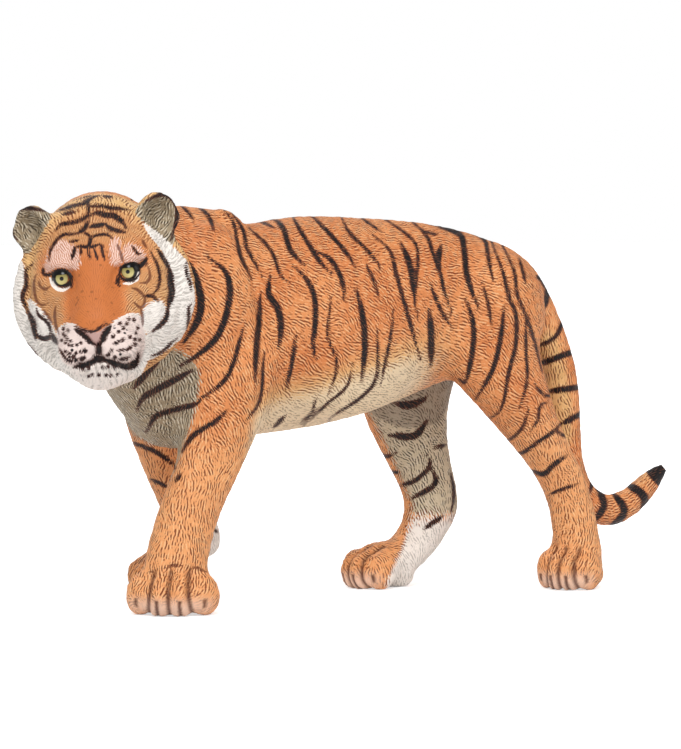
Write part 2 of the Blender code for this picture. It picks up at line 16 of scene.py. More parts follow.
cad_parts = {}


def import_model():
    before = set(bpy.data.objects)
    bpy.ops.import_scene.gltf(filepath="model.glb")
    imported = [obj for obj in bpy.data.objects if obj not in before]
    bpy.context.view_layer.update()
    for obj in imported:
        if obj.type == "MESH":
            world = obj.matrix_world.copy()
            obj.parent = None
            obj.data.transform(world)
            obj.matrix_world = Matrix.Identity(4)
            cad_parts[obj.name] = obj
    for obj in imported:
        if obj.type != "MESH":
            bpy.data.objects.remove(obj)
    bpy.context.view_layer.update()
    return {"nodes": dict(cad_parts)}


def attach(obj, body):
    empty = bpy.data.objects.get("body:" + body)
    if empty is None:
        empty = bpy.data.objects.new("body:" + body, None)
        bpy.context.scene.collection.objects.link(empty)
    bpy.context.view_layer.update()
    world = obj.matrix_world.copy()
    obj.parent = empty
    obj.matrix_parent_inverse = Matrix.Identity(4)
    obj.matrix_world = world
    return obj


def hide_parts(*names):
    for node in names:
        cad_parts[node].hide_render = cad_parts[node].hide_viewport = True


MM = 0.001
NODE = "tiger_figurine"
SEED = 7

# The reference view
PHOTO_WIDTH = 681
PHOTO_HEIGHT = 749
CAMERA_AZIMUTH = -32.0
CAMERA_ELEVATION = 2.5
CAMERA_DISTANCE = 700.0
PIXELS_PER_MM = 5.4
MM_PER_PIXEL = 1.0 / PIXELS_PER_MM
CAMERA_TARGET = (-3.02, 3.24, 41.5)
SENSOR = 36.0

# Skin: the size of its mesh, and how often and how strongly it is smoothed
SKIN_VOXEL = 0.62
SKIN_SMOOTHING = 5
FACE_SOFTNESS = 0.6

# Locks of fur raised from the skin: how many, then their length, width and height
SHORT_LOCKS = (15000, 2.6, 1.0, 0.16)
RUFF_LOCKS = (1800, 5.6, 1.3, 0.6)

# Head: the point between the eyes, and how the face is turned
FACE_POINT = (-61.92, -10.76, 60.7)
FACE_TURN = -35.3
FACE_NOD = 3.0
FACE_ROLL = -6.0
EYE_SPACING = 11.6
EYE_RADIUS = 2.05
IRIS_RADIUS = 1.08
PUPIL_RADIUS = 0.36
LID_HEIGHT = 0.66
RIM_RADIUS = 1.6
EYE_DEPTH = 0.9

# Reach of the face, eyes and nose in the face's own axes: across it, into the head and up
FACE_MIDDLE = -2.5
FACE_REACH = 14.5
FACE_BACK = 3.0
EYE_REACH = 3.0
EYE_BACK = 4.0
NOSE_HALF_WIDTH = 3.6
NOSE_TOP = -9.4
MOUTH_FOOT = -14.4
NOSE_BACK = -7.0
RADIAL_FUR_CENTRE = (0.0, -14.0, -8.0)
EAR_PLACE = (11.5, 7.0, 9.4)

# The body's middle, as places along X and the Y of the middle there
MIDDLE_X = (-60.0, -56.0, -50.5, -45.0, -39.0, -32.0)
MIDDLE_Y = (-3.3, -1.3, 1.7, 4.2, 5.7, 6.2)

# Paws: the point under each, its turn, the lift of its heel, its width and reach
PAWS = {
    "left_front": ((-42.5, -4.0, 0.0), -38.0, 0.0, 17.0, 8.8),
    "right_front": ((-32.4, 15.6, 1.6), -80.0, 24.0, 14.0, 7.4),
    "left_hind": ((44.2, -4.6, 0.0), -58.0, 0.0, 12.8, 7.8),
    "right_hind": ((13.2, 16.4, 0.0), -86.0, 0.0, 12.8, 7.4),
}
TOES = 4
TOE_OVERLAP = 1.22
TOE_GAP = 0.24
NAIL_HEIGHT = 1.5
NAIL_REACH = 1.4
OFF_TOES = -9.0

TAIL_ROUTE = [
    (31.0, 6.3, 62.6), (37.0, 5.5, 59.6), (40.9, 3.3, 53.2), (43.4, 2.1, 47.0), (45.6, 1.5, 40.0),
    (46.3, 1.1, 31.0), (47.2, 1.1, 22.5), (51.0, 1.1, 16.2), (56.6, 1.3, 13.9), (61.8, 1.5, 15.2),
    (66.6, 1.9, 18.5), (71.4, 2.3, 22.2),
]
TAIL_RADIUS = 4.3
TAIL_ROOT = 61.5

# What a painted line cuts into the face: depth, then the reach of its slope in pixels
MOUTH_CUT = (0.75, 2.6)
NOSE_CUT = (0.5, 2.2)
MUZZLE_CUT = (0.2, 1.6)
DIMPLE_DEPTH = 0.14
RIM_LIFT = 0.18
GAP_DEPTH = 0.4
NAIL_DEPTH = 0.3

# Which way the fur lies: a place, then a direction, on the left side and mirrored to the right
FUR_LIE = [
    ((-52, 0, 70), (0.9, 0, -0.2)),
    ((-30, 6, 74), (1, 0, -0.1)),
    ((0, 6, 71), (1, 0, 0)),
    ((25, 6, 70), (1, 0, -0.1)),
    ((40, 6, 62), (0.7, 0, -0.7)),
    ((-44, -3, 55), (0.85, 0.1, -0.5)),
    ((-33, -8, 50), (0.8, 0, -0.6)),
    ((-33, -9, 38), (0.45, 0, -0.9)),
    ((-5, -8, 55), (0.9, 0, -0.4)),
    ((-5, -7, 40), (0.85, 0, -0.5)),
    ((15, -7, 45), (0.9, 0, -0.4)),
    ((28, -8, 55), (0.85, 0, -0.5)),
    ((30, -6, 40), (0.75, 0, -0.65)),
    ((36, -5, 28), (0.5, 0, -0.87)),
    ((43, -4, 15), (0.15, 0, -1)),
    ((41, -8, 3), (-0.5, -0.4, -0.6)),
    ((-34, -3, 25), (-0.1, 0, -1)),
    ((-41, -3, 12), (-0.05, 0, -1)),
    ((-48, -8, 3), (-0.7, -0.5, -0.4)),
    ((-52, 2, 45), (0.1, 0, -1)),
    ((-45, 5, 35), (0.3, 0, -1)),
    ((-5, 5, 31), (1, 0, -0.1)),
]

# How much wider a painted stripe, face line or dot is than its list says, in pixels
STRIPE_EXTRA = 0.4
LINE_EXTRA = 0.6
DOT_EXTRA = 0.7

# Where parts and painted zones fade, in millimetres: none of it at the first place, all at the second
FAR_LEG_TOP = (40.0, 34.0)
LEG_TOP = (38.0, 24.0)
FORE_PAW_TOP = (17.0, 15.0)
FORE_PAW_BACK = (-24.0, -26.0)
BELLY_FRONT = (-32.0, -24.0)
BELLY_BACK = (20.0, 4.0)
HIND_LEG_FRONT = (-10.0, 0.0)
GROIN_FRONT = (0.0, 8.0)
TAIL_FRONT_FOOT = (16.0, 24.0)

# How far down the picture the far hind leg turns white
HEEL_TOP_PIXEL = 495
HEEL_FULL_PIXEL = 540

# How wide a stroke is at its tips, and the share of its length over which it widens
TIP_WIDTH = 0.45
TIP_SHARE = 0.3

# Depth in pixels that stands for far outside any paint, and what keeps paint off other parts
FAR_OUTSIDE = -16.0
KEEP_OUT = 12.0

# Dark stripes of the body and the near legs: half width in pixels, then the centre line
BODY_STRIPES = [
    (1.1, [(180, 205), (189, 213), (194, 222)]),
    (1.8, [(199, 207), (209, 217), (214, 230)]),
    (1.5, [(224, 210), (234, 224), (237, 240), (241, 257), (252, 280)]),
    (1.5, [(232, 213), (243, 230), (247, 248), (255, 263), (262, 278)]),
    (3.0, [(207, 256), (224, 270), (230, 288), (227, 312), (217, 337), (198, 355), (180, 366)]),
    # Black band along the ruff's edge: partly black fur, partly painted shadow of the ruff on the neck
    (3.6, [(182, 254), (193, 272), (201, 300), (197, 322), (184, 342)]),
    (2.0, [(243, 328), (234, 361), (224, 381), (203, 398)]),
    (2.6, [(260, 293), (259, 322), (256, 351), (255, 381)]),
    (1.3, [(264, 351), (263, 371), (260, 400), (247, 420)]),
    (1.5, [(249, 228), (266, 244), (275, 259), (281, 276), (290, 283)]),
    (1.2, [(256, 219), (275, 228)]),
    (2.4, [(270, 215), (283, 228), (289, 247), (296, 257), (305, 265)]),
    (2.0, [(291, 214), (302, 233), (312, 250), (321, 263), (331, 273)]),
    (2.2, [(316, 251), (330, 259), (339, 273), (344, 289), (344, 300)]),
    (1.9, [(310, 214), (327, 231), (345, 251), (356, 268)]),
    (1.5, [(340, 215), (350, 233), (365, 248), (377, 262), (380, 270)]),
    (1.0, [(360, 217), (382, 232)]),
    (2.4, [(293, 266), (307, 280), (315, 300), (315, 328), (313, 343), (316, 360)]),
    (3.0, [(270, 276), (269, 294), (278, 309), (281, 328), (279, 348)]),
    (1.9, [(296, 335), (293, 358), (286, 390)]),
    (1.3, [(331, 297), (328, 335), (336, 358), (336, 374), (328, 395)]),
    (2.8, [(356, 289), (362, 312), (365, 343), (362, 381)]),
    (1.4, [(365, 262), (373, 279), (379, 297)]),
    (1.8, [(373, 235), (390, 251), (396, 273), (403, 298), (410, 323), (421, 361)]),
    (1.4, [(377, 331), (377, 374), (364, 395), (333, 416), (328, 423)]),
    (1.3, [(393, 309), (391, 335), (380, 387)]),
    (1.2, [(353, 363), (347, 386), (327, 404), (303, 426)]),
    (1.2, [(316, 397), (312, 412), (300, 424)]),
    (1.6, [(286, 415), (273, 428)]),
    (1.3, [(383, 218), (405, 233), (416, 245), (418, 261), (416, 283), (415, 303), (419, 321)]),
    (2.8, [(401, 243), (410, 265), (413, 283), (415, 299)]),
    (1.6, [(409, 219), (426, 235), (433, 253), (440, 273), (445, 293), (453, 316)]),
    (1.0, [(438, 235), (423, 231)]),
    (2.8, [(441, 245), (438, 261), (440, 273)]),
    (1.7, [(430, 283), (436, 299), (443, 314), (453, 329)]),
    (3.0, [(429, 309), (431, 331), (431, 366)]),
    (2.6, [(424, 221), (458, 233), (464, 248), (466, 270), (471, 289), (479, 309)]),
    (2.4, [(466, 298), (473, 323), (473, 347), (466, 381), (459, 379)]),
    (1.7, [(457, 226), (483, 238), (488, 256), (493, 281)]),
    (1.4, [(482, 283), (488, 303), (492, 328)]),
    (1.8, [(491, 240), (503, 273), (509, 296), (516, 316), (516, 343), (509, 372), (501, 409), (484, 421)]),
    (1.4, [(501, 242), (514, 270), (517, 293), (526, 316), (534, 339), (542, 372)]),
    (2.2, [(504, 306), (501, 336), (493, 369), (476, 399)]),
    (1.2, [(519, 258), (526, 283)]),
    (1.3, [(526, 316), (526, 349), (527, 381), (519, 409)]),
    (1.3, [(535, 384), (544, 395), (556, 395)]),
    (1.2, [(548, 402), (540, 406), (538, 420), (531, 430)]),
    (1.3, [(500, 439), (509, 440), (522, 428), (529, 409)]),
    (1.7, [(507, 453), (522, 453), (538, 442), (554, 431), (563, 420)]),
    (1.4, [(556, 431), (566, 436), (572, 434)]),
    (2.4, [(530, 470), (544, 474), (553, 465), (567, 456)]),
    (1.5, [(548, 495), (563, 489), (578, 484)]),
    (3.2, [(134, 388), (143, 377), (150, 369), (158, 363)]),
    (3.0, [(137, 410), (141, 401), (147, 395), (158, 389), (169, 383), (180, 377), (193, 370)]),
    (2.6, [(147, 432), (151, 423), (155, 417), (164, 413), (174, 410), (184, 407), (196, 404), (203, 396)]),
    (2.4, [(182, 452), (188, 442), (195, 434), (206, 427), (216, 421), (227, 410)]),
    (2.6, [(151, 449), (160, 456), (169, 462), (175, 468)]),
    (1.8, [(181, 474), (175, 482)]),
    (1.0, [(106, 393), (118, 408), (132, 423), (146, 434)]),
    # Thin black line under the ruff's lower edge: painted shadow of the ruff on the neck
    (1.2, [(148, 360), (165, 349), (176, 342)]),
]

# Stripes where the head hides the neck
NECK_STRIPES = [
    (2.0, [(168, 196), (172, 222), (166, 250), (160, 280)]),
    (2.2, [(150, 194), (152, 226), (146, 262), (140, 300)]),
    (2.0, [(132, 196), (130, 230), (124, 268)]),
]

FAR_LEG_STRIPES = [
    # The first, widest band is painted shadow in the groin, put down as black
    (5.0, [(392, 402), (408, 404), (424, 398), (436, 390)]),
    (3.2, [(389, 435), (414, 436), (427, 421)]),
    (1.6, [(367, 441), (384, 456), (398, 452)]),
    (1.6, [(388, 473), (400, 472)]),
    (2.0, [(396, 487), (416, 480), (430, 465), (427, 454)]),
    (2.4, [(411, 499), (435, 484), (432, 468)]),
    (1.8, [(433, 448), (447, 445)]),
    (1.3, [(451, 473), (454, 495), (451, 513)]),
    (2.2, [(424, 529), (443, 516)]),
    (2.0, [(128, 441), (156, 452), (178, 468)]),
    (1.6, [(150, 479), (170, 488)]),
    (1.2, [(213, 528), (218, 533)]),
    (1.3, [(208, 561), (214, 566), (220, 560)]),
]

TAIL_BANDS = [
    (3.0, [(530, 268), (546, 286), (544, 306), (526, 326)]),
    (2.2, [(566, 310), (556, 336), (532, 349)]),
    (3.2, [(580, 349), (535, 366)]),
    (3.2, [(586, 386), (546, 392)]),
    (3.0, [(588, 410), (560, 425)]),
    (2.2, [(586, 468), (592, 480), (590, 492)]),
    (3.6, [(597, 487), (604, 505), (594, 522)]),
    (3.8, [(612, 492), (624, 508), (620, 519), (608, 528)]),
    (4.2, [(625, 483), (641, 493), (645, 502), (641, 512)]),
]
TAIL_TIP = [(645, 466), (652, 480), (664, 488), (684, 484), (684, 452), (656, 452)]

FACE_LINES = [
    (1.3, [(59, 205), (66, 201), (74, 198), (81, 196), (88, 195), (95, 193), (101, 191), (109, 191)]),
    (1.5, [(59, 210), (67, 208), (75, 205.5), (84, 203), (91, 198), (99, 195)]),
    (1.1, [(61, 214.5), (68, 213), (75, 211.5)]),
    (1.3, [(103, 195.5), (112, 197)]),
    (1.4, [(88.6, 207.5), (94, 206), (103, 206), (111, 208), (119, 208.3), (129, 209.6)]),
    (1.3, [(88, 200), (88.6, 208), (88, 216)]),
    (1.6, [(55, 231), (61, 224.5), (71, 222.8), (79.5, 220.3), (88, 216), (94, 213.2)]),
    (2.4, [(91, 214.5), (98, 213), (105, 215), (113, 215.5), (118, 218.5), (123, 222), (126, 227.5)]),
    (1.8, [(89, 227), (94, 226), (99.5, 225.3), (106, 223.7)]),
    (1.6, [(105, 224), (110, 228), (116, 230.3), (125, 232.4)]),
    (1.0, [(48.5, 261), (50.4, 251), (53.8, 244.4), (58, 238.6), (64.5, 234.4), (71, 234.4), (80, 232.8)]),
    (1.7, [(78, 233), (84, 229), (88.6, 221)]),
    (0.9, [(84, 232), (91, 237)]),
    (0.9, [(90, 238), (96, 235.6), (103, 234.4), (108.5, 235.3), (113, 239)]),
    (1.5, [(91, 236), (90, 242), (88, 247)]),
    (0.7, [(69, 242), (74.5, 241), (79, 240)]),
    (1.1, [(74, 247.5), (81, 246.3), (88, 247.3), (94.4, 246), (101, 243.6)]),
    (1.3, [(75, 247), (73.6, 253), (71.6, 259)]),
    (0.8, [(81, 248), (80.7, 255)]),
    (0.8, [(87, 248), (90.4, 259)]),
    (0.8, [(93.6, 247), (97.7, 259.6)]),
    (1.0, [(100.6, 244), (104.5, 260)]),
    (0.9, [(132, 246), (137.5, 253.5), (141, 253.5)]),
    (2.3, [(133, 267), (139, 266), (144, 263), (146.5, 258)]),
    (1.3, [(43, 274), (48, 275), (53, 273)]),
    (1.1, [(43, 274), (43, 268)]),
    (0.9, [(157, 249), (162, 257), (166, 264.5)]),
    (1.0, [(151, 252), (155, 260), (158.5, 268), (159.8, 279), (157.5, 289), (152, 295)]),
    (1.3, [(144, 296), (152, 296), (157.7, 301)]),
    (1.6, [(157.7, 249), (162.5, 257), (167.3, 265.5), (169.5, 272)]),
    (2.9, [(168, 266), (170.3, 275), (170.6, 284), (171.5, 292), (169.5, 301), (167.3, 309)]),
    (1.9, [(168, 306), (166, 318), (160.6, 324.6), (152, 331.5)]),
    (1.6, [(33, 264), (26.5, 270), (26.5, 278), (26, 286), (23, 294.3), (23, 300), (26, 307), (30, 314)]),
    (2.3, [(28, 311), (33.3, 322), (35, 331), (36, 338.5)]),
    (1.9, [(35.5, 334), (43, 338.3), (49.3, 337), (51, 332)]),
    (1.3, [(50.7, 335), (49.3, 325.5), (44, 319.3), (38.6, 315), (36.4, 308.6)]),
    (1.9, [(51, 333), (53, 337), (57.4, 344)]),
    (0.8, [(59, 348), (64.5, 356.8), (70, 362)]),
    (1.0, [(24.3, 340), (30.6, 348), (37.7, 355)]),
    # These three lines follow the ruff's outer edge: painted shadow of the ruff on the neck
    (1.1, [(186, 262), (186.4, 273), (189.3, 281.6), (191.2, 291.2)]),
    (1.1, [(191.2, 304), (188, 308), (188.3, 318), (186.4, 331)]),
    (1.1, [(177, 338), (169, 345), (160.6, 352.4), (149, 356.5)]),
]

# Thinner reddish-brown lines of the face and the near front paw
BROWN_LINES = [
    (0.9, [(36, 274), (34, 282), (35, 294), (37.7, 302.3), (43, 305), (49.3, 302.3)]),
    (0.8, [(38.6, 281), (40.4, 286.3), (45, 289.4), (50, 286.5)]),
    (1.0, [(55.6, 306), (54.7, 315.7), (56, 325.5), (59, 334)]),
    (0.9, [(43, 309.5), (47.5, 315.7), (52, 323)]),
    (0.9, [(63, 214.7), (69, 213.7), (74.5, 212)]),
    (1.0, [(120, 250), (122.6, 261)]),
    (0.9, [(117, 244), (120, 251)]),
    (1.0, [(141.6, 239.4), (146.6, 248)]),
    (0.8, [(148.2, 267), (150, 276), (147.2, 282), (139.6, 283)]),
    (1.0, [(132, 288), (138, 290), (144.3, 296)]),
    (0.9, [(145.3, 296), (144.3, 303.6), (140.5, 307.4), (134, 302.7)]),
    (1.0, [(140.5, 307.4), (142.4, 316), (143, 326)]),
    (1.4, [(101, 245), (103.5, 247.5)]),
    # These three lines lie in the wrist crease above the near front paw's knuckles: partly brown paint,
    # partly painted shade of the crease
    (1.3, [(164, 568), (173, 565.5), (183, 566)]),
    (1.2, [(187, 567), (197, 568), (206, 572)]),
    (1.0, [(148, 573), (158, 569)]),
]

# The nose: its upper edge, its two dark wings and the line down to the mouth
NOSE_LINES = [
    (0.9, [(75, 327), (81, 329), (87, 331), (93, 331.5), (97, 330), (102, 326), (106, 324), (110, 326)]),
    (2.0, [(75.5, 327), (77.5, 331), (82, 334), (86.5, 338), (90, 342), (95.5, 345)]),
    (2.5, [(110.5, 326), (108, 330), (105, 334), (103, 339), (100.5, 344)]),
]
MOUTH_LINES = [
    (2.5, [(98.6, 344), (99, 355.5)]),
    (3.8, [(95, 358.5), (99, 359), (103, 358.8)]),
    (2.6, [(99, 359), (93, 362), (88, 364), (81, 366), (74, 367)]),
    (2.7, [
        (99, 359), (104, 360), (112, 362.5), (120, 365), (127, 367), (134, 365), (137.5, 359),
        (138.7, 353),
    ]),
    (3.4, [(124, 366), (131, 365.5), (136, 361)]),
]

# The black outline of each eye and the white under it
EYE_LINES = [
    (1.9, [
        (50, 274.5), (54.6, 271.5), (61, 270.2), (67, 272.3), (70.6, 277.6), (70.3, 282), (66.2, 285.2),
        (60.4, 285), (55.5, 281.4), (53.4, 276),
    ]),
    (2.0, [
        (118.2, 276), (120.6, 269.3), (125, 265.6), (131.7, 264.6), (137, 268.2), (137.6, 273.4),
        (134.2, 278.4), (128.4, 280), (122.6, 278.8), (119.5, 274),
    ]),
    (1.6, [(119, 275), (117.6, 282), (119.5, 286)]),
    (1.4, [(70.6, 280), (71.4, 287.5)]),
]
EYE_WHITES = [
    (2.1, [(50, 278), (53, 284.6), (58, 289), (63.7, 289.6), (69.5, 287)]),
    (2.1, [(123.6, 283.6), (130, 282.8), (136.2, 279.2), (139.4, 273.4)]),
]

# Spots and short lines of the muzzle and chin: radius or half width, then the places
WHISKER_DOTS = [
    (1.0, [
        (63.5, 329), (68, 330.5), (63.5, 334), (70.5, 341), (81, 343), (65.5, 343), (69, 345),
        (72, 345.5),
    ]),
    (1.1, [
        (65, 336), (61.6, 340.4), (79.4, 363), (67, 339), (65.4, 351.5), (80.4, 352), (77, 345),
        (76, 353),
    ]),
    (1.5, [(69, 353.5), (73.7, 356), (68, 360), (71, 361), (84, 358)]),
    (1.8, [(84.8, 351), (81.3, 359), (75.6, 360)]),
    (1.1, [(129, 319), (126.6, 324), (137.8, 328), (136, 333), (139.4, 340), (111.3, 350.6)]),
    (1.3, [
        (120, 323.5), (134, 320), (123.4, 328), (118.6, 331.5), (130, 337), (135, 339.4), (113, 336.6),
        (123, 340), (116.4, 343),
    ]),
    (1.5, [(135, 344.5), (130, 347.7), (108.4, 354.7), (114.8, 357.3)]),
    (1.1, [(83.3, 369), (88.4, 368), (102.4, 367), (107.8, 366.5), (114, 367)]),
    (1.2, [(89, 376), (92.5, 374.5), (99, 375), (106, 375), (110.7, 375.5), (117, 374.5)]),
]
MUZZLE_LINES = [
    (0.8, [(117, 350.5), (122, 350), (128, 349.5), (131, 347)]),
    (1.2, [(119, 359), (124, 358.6), (129, 357)]),
    (0.8, [(113, 343.5), (118, 342), (123, 339)]),
]

EAR_RIMS = [
    (1.7, [(17, 240), (9, 226), (15, 211), (27, 208), (46, 211)]),
    (1.7, [(146, 201), (159, 195), (169, 196), (177, 207), (176, 223), (171, 240)]),
]

# Painted patches, as outlines in pixels
EAR_LEFT = [
    (6, 226), (13, 208), (27, 205), (47, 210), (50, 219), (42, 232), (34, 245), (26, 254), (14, 242),
]
EAR_RIGHT = [
    (135, 212), (146, 200), (159, 192), (171, 194), (180, 207), (179, 226), (172, 246), (160, 238),
    (149, 226),
]
MUZZLE = [
    (57, 330), (64, 324), (72, 323), (80, 328), (87, 331), (97, 333), (108, 326), (119, 318), (132, 313),
    (142, 317), (146, 334), (145, 352), (138, 366), (125, 369), (112, 364), (98, 360), (86, 366),
    (74, 368), (62, 362), (56, 345),
]
CHIN = [
    (66, 362), (80, 364), (98, 360), (114, 364), (134, 366), (148, 356), (142, 373), (130, 386),
    (119, 392), (106, 396), (94, 394), (80, 387), (70, 376),
]
RUFF_RIGHT = [
    (142, 222), (152, 228), (162, 236), (172, 245), (180, 254), (187, 262), (190, 276), (194, 290),
    (195, 304), (193, 318), (188, 333), (176, 343), (164, 352), (148, 360), (138, 356), (140, 340),
    (147, 334), (158, 326), (166, 316), (169, 304), (172, 292), (170, 276), (167, 264), (160, 248),
    (150, 236),
]
RUFF_LEFT = [
    (2, 262), (18, 258), (24, 266), (25, 280), (21, 296), (25, 310), (31, 322), (35, 337), (50, 340),
    (58, 342), (64, 358), (78, 370), (70, 384), (50, 378), (26, 362), (2, 330),
]
CHEEK_RIGHT = [(148, 304), (160, 300), (166, 310), (159, 325), (146, 333), (142, 322), (143, 310)]
CHEEK_LEFT = [(28, 300), (37, 305), (47, 316), (53, 326), (56, 338), (40, 338), (33, 323)]
BROW_LEFT = [
    (46, 262), (49, 251), (55, 243), (62, 240), (70, 243), (77, 249), (79, 256), (78, 268), (67, 269),
    (56, 268), (47, 273), (44, 268),
]
BROW_RIGHT = [
    (112, 240), (118, 238), (121, 248), (123, 258), (122, 264), (115, 265), (111, 262), (110, 250),
]
BROW_OUTER = [
    (124, 248), (130, 244), (138, 247), (145, 254), (145, 260), (139, 263), (131, 263), (124, 262),
]
NOSE_LEATHER = [
    (77, 328), (86, 330), (97, 332), (108, 326), (107, 333), (102, 341), (98, 347), (92, 344), (85, 337),
]
CHEST = [
    (84, 384), (104, 388), (126, 382), (146, 360), (170, 350), (188, 358), (198, 374), (196, 398),
    (191, 420), (184, 440), (177, 460), (168, 478), (157, 488), (144, 470), (130, 442), (112, 412),
]
GROIN = [
    (362, 398), (384, 384), (404, 374), (424, 362), (452, 366), (452, 392), (440, 420), (420, 427),
    (400, 427), (372, 414),
]
FAR_HEEL = [(203, 522), (226, 522), (226, 574), (203, 574)]
BELLY_EDGE = [
    (150, 470), (252, 418), (285, 404), (310, 398), (335, 389), (362, 379), (390, 370), (415, 360),
    (445, 352), (560, 352),
]
FAR_HIND_EDGE = [
    (360, 398), (368, 412), (384, 440), (400, 476), (412, 505), (404, 545), (388, 580), (380, 620),
]

# Colours, as a screen shows them
ORANGE = (224, 146, 90)
DEEP_ORANGE = (210, 126, 72)
LIGHT_ORANGE = (242, 172, 114)
# Painted highlight on the ridges of the hairs
RIDGE_HIGHLIGHT = (250, 208, 156)
# Dark wash in the grooves between the hairs, which also stands for the shade in them
RECESS_WASH_AND_SHADE = (96, 28, 10)
TAN = (226, 184, 124)
STRIPE_BLACK = (14, 8, 10)
STRIPE_BROWN = (74, 30, 18)
# Dark brown of the toe gaps and nail slits, also used as painted shade in the skin's hollows
GAP_LINE_AND_HOLLOW_SHADE = (72, 24, 12)
WHITE = (246, 238, 230)
MUZZLE_PINK = (234, 214, 206)
# Dark wash and painted shade in the grooves of white fur, and painted shade between the ruff's locks
WHITE_RECESS_WASH_AND_SHADE = (98, 88, 76)
CREAM = (236, 212, 178)
# Dark wash and painted shade in the grooves of the cream belly
CREAM_RECESS_WASH_AND_SHADE = (112, 84, 60)
OLIVE = (158, 140, 114)
# Painted highlight on the ridges of the grey hairs
OLIVE_RIDGE_HIGHLIGHT = (220, 208, 186)
PALE_OLIVE = (208, 192, 164)
# Dark wash and painted shade in the grooves of the grey fur
OLIVE_RECESS_WASH_AND_SHADE = (54, 44, 36)
GROIN_GREY = (172, 158, 138)
BROW = (196, 134, 104)
BROW_RIDGE = (244, 212, 198)
PINK = (184, 148, 140)
BRIDGE_ORANGE = (198, 111, 55)
CROWN_TAN = (196, 142, 92)
LINE_BROWN = (92, 38, 22)
# Painted highlight on the ridges of the hairs within the black stripes
STRIPE_RIDGE_HIGHLIGHT = (104, 62, 42)
TOE_PINK = (252, 224, 206)
IRIS_LIGHT = (222, 214, 146)
IRIS_DARK = (128, 118, 62)
PUPIL = (8, 8, 8)

# Painted hairs: how fine their pattern is, and how many lines each patch of it has
HAIR = (1050.0, 1.7)
FINE_HAIR = (1200.0, 2.2)
TUFT_HAIR = (330.0, 2.6)
BUMP_DEPTH = 0.15

# Studio: places and sizes in metres, then powers
LAMPS = {
    "key": ((-0.5, -0.7, 0.9), 0.5, 9.0),
    "fill": ((0.8, -0.7, 0.5), 0.8, 2.0),
    "back": ((0.1, 0.9, 0.8), 0.8, 3.0),
}
WORLD_LIGHT = 0.45
FLOOR_SIZE = 6.0
FLOOR_DROP = 0.05
FLOOR_COLOUR = (0.86, 0.86, 0.86, 1.0)
PURE_WHITE = (1.0, 1.0, 1.0, 1.0)


def linear(rgb):
    """A colour as a shader takes it, from its screen values."""
    shares = [v / 255.0 for v in rgb]
    return tuple([s / 12.92 if s <= 0.04045 else ((s + 0.055) / 1.055) ** 2.4 for s in shares] + [1.0])


def ease(low, high, values):
    """0 at low, 1 at high, with soft ends; low may be above high."""
    share = np.clip((values - low) / (high - low), 0.0, 1.0)
    return share * share * (3.0 - 2.0 * share)


class ReferenceView:
    """The camera of the reference picture, and where it sees a point."""

    def __init__(self):
        turn = math.radians(CAMERA_AZIMUTH)
        rise = math.radians(CAMERA_ELEVATION)
        level = math.cos(rise)
        self.back = np.array([math.sin(turn) * level, -math.cos(turn) * level, math.sin(rise)])
        self.right = np.array([math.cos(turn), math.sin(turn), 0.0])
        self.up = np.cross(self.back, self.right)
        self.place = np.array(CAMERA_TARGET) + self.back * CAMERA_DISTANCE
        self.focal = PIXELS_PER_MM * CAMERA_DISTANCE

    def pixels(self, points):
        """Where points in millimetres fall in the picture."""
        offset = points - self.place
        depth = -(offset @ self.back)
        across = PHOTO_WIDTH / 2.0 + self.focal * (offset @ self.right) / depth
        down = PHOTO_HEIGHT / 2.0 - self.focal * (offset @ self.up) / depth
        return np.stack([across, down], axis=1)

    def make_camera(self):
        data = bpy.data.cameras.new("reference_camera")
        data.sensor_width = SENSOR
        data.lens = SENSOR * self.focal / PHOTO_HEIGHT
        data.clip_start = 0.01
        data.clip_end = 50.0
        camera = bpy.data.objects.new("reference_camera", data)
        camera.location = Vector(self.place) * MM
        camera.rotation_euler = Vector(self.back).to_track_quat("Z", "Y").to_euler()
        bpy.context.scene.collection.objects.link(camera)
        bpy.context.scene.camera = camera


class Skin:
    """A mesh's points in millimetres, and the edges and triangles that join them."""

    def __init__(self, mesh):
        self.mesh = mesh
        count = len(mesh.vertices)
        self.points = np.empty(count * 3)
        mesh.vertices.foreach_get("co", self.points)
        self.points = self.points.reshape(-1, 3) / MM
        self.edges = np.empty(len(mesh.edges) * 2, int)
        mesh.edges.foreach_get("vertices", self.edges)
        self.edges = self.edges.reshape(-1, 2)
        mesh.calc_loop_triangles()
        self.triangles = np.empty(len(mesh.loop_triangles) * 3, int)
        mesh.loop_triangles.foreach_get("vertices", self.triangles)
        self.triangles = self.triangles.reshape(-1, 3)
        self.degree = np.bincount(self.edges.ravel(), minlength=count)[:, None]

    def around(self, values):
        """The mean of each point's neighbours."""
        total = np.zeros_like(values)
        for one, other in (self.edges.T, self.edges.T[::-1]):
            for axis in range(values.shape[1]):
                total[:, axis] += np.bincount(one, values[other, axis], len(values))
        return total / self.degree

    def smooth(self, rounds, amount):
        for _ in range(rounds):
            self.points += 0.5 * amount[:, None] * (self.around(self.points) - self.points)

    def normals(self):
        a, b, c = (self.points[self.triangles[:, k]] for k in range(3))
        face = np.cross(b - a, c - a)
        total = np.zeros_like(self.points)
        for corner in range(3):
            for axis in range(3):
                total[:, axis] += np.bincount(self.triangles[:, corner], face[:, axis], len(total))
        return total / np.maximum(np.linalg.norm(total, axis=1, keepdims=True), 1e-9)

    def write(self):
        self.mesh.vertices.foreach_set("co", (self.points * MM).ravel())
        self.mesh.update()

    def paint(self, name, values):
        layer = self.mesh.attributes.new(name, "FLOAT", "POINT")
        layer.data.foreach_set("value", values.astype(np.float32))

    def paint_direction(self, name, values):
        layer = self.mesh.attributes.new(name, "FLOAT_VECTOR", "POINT")
        layer.data.foreach_set("vector", values.astype(np.float32).ravel())


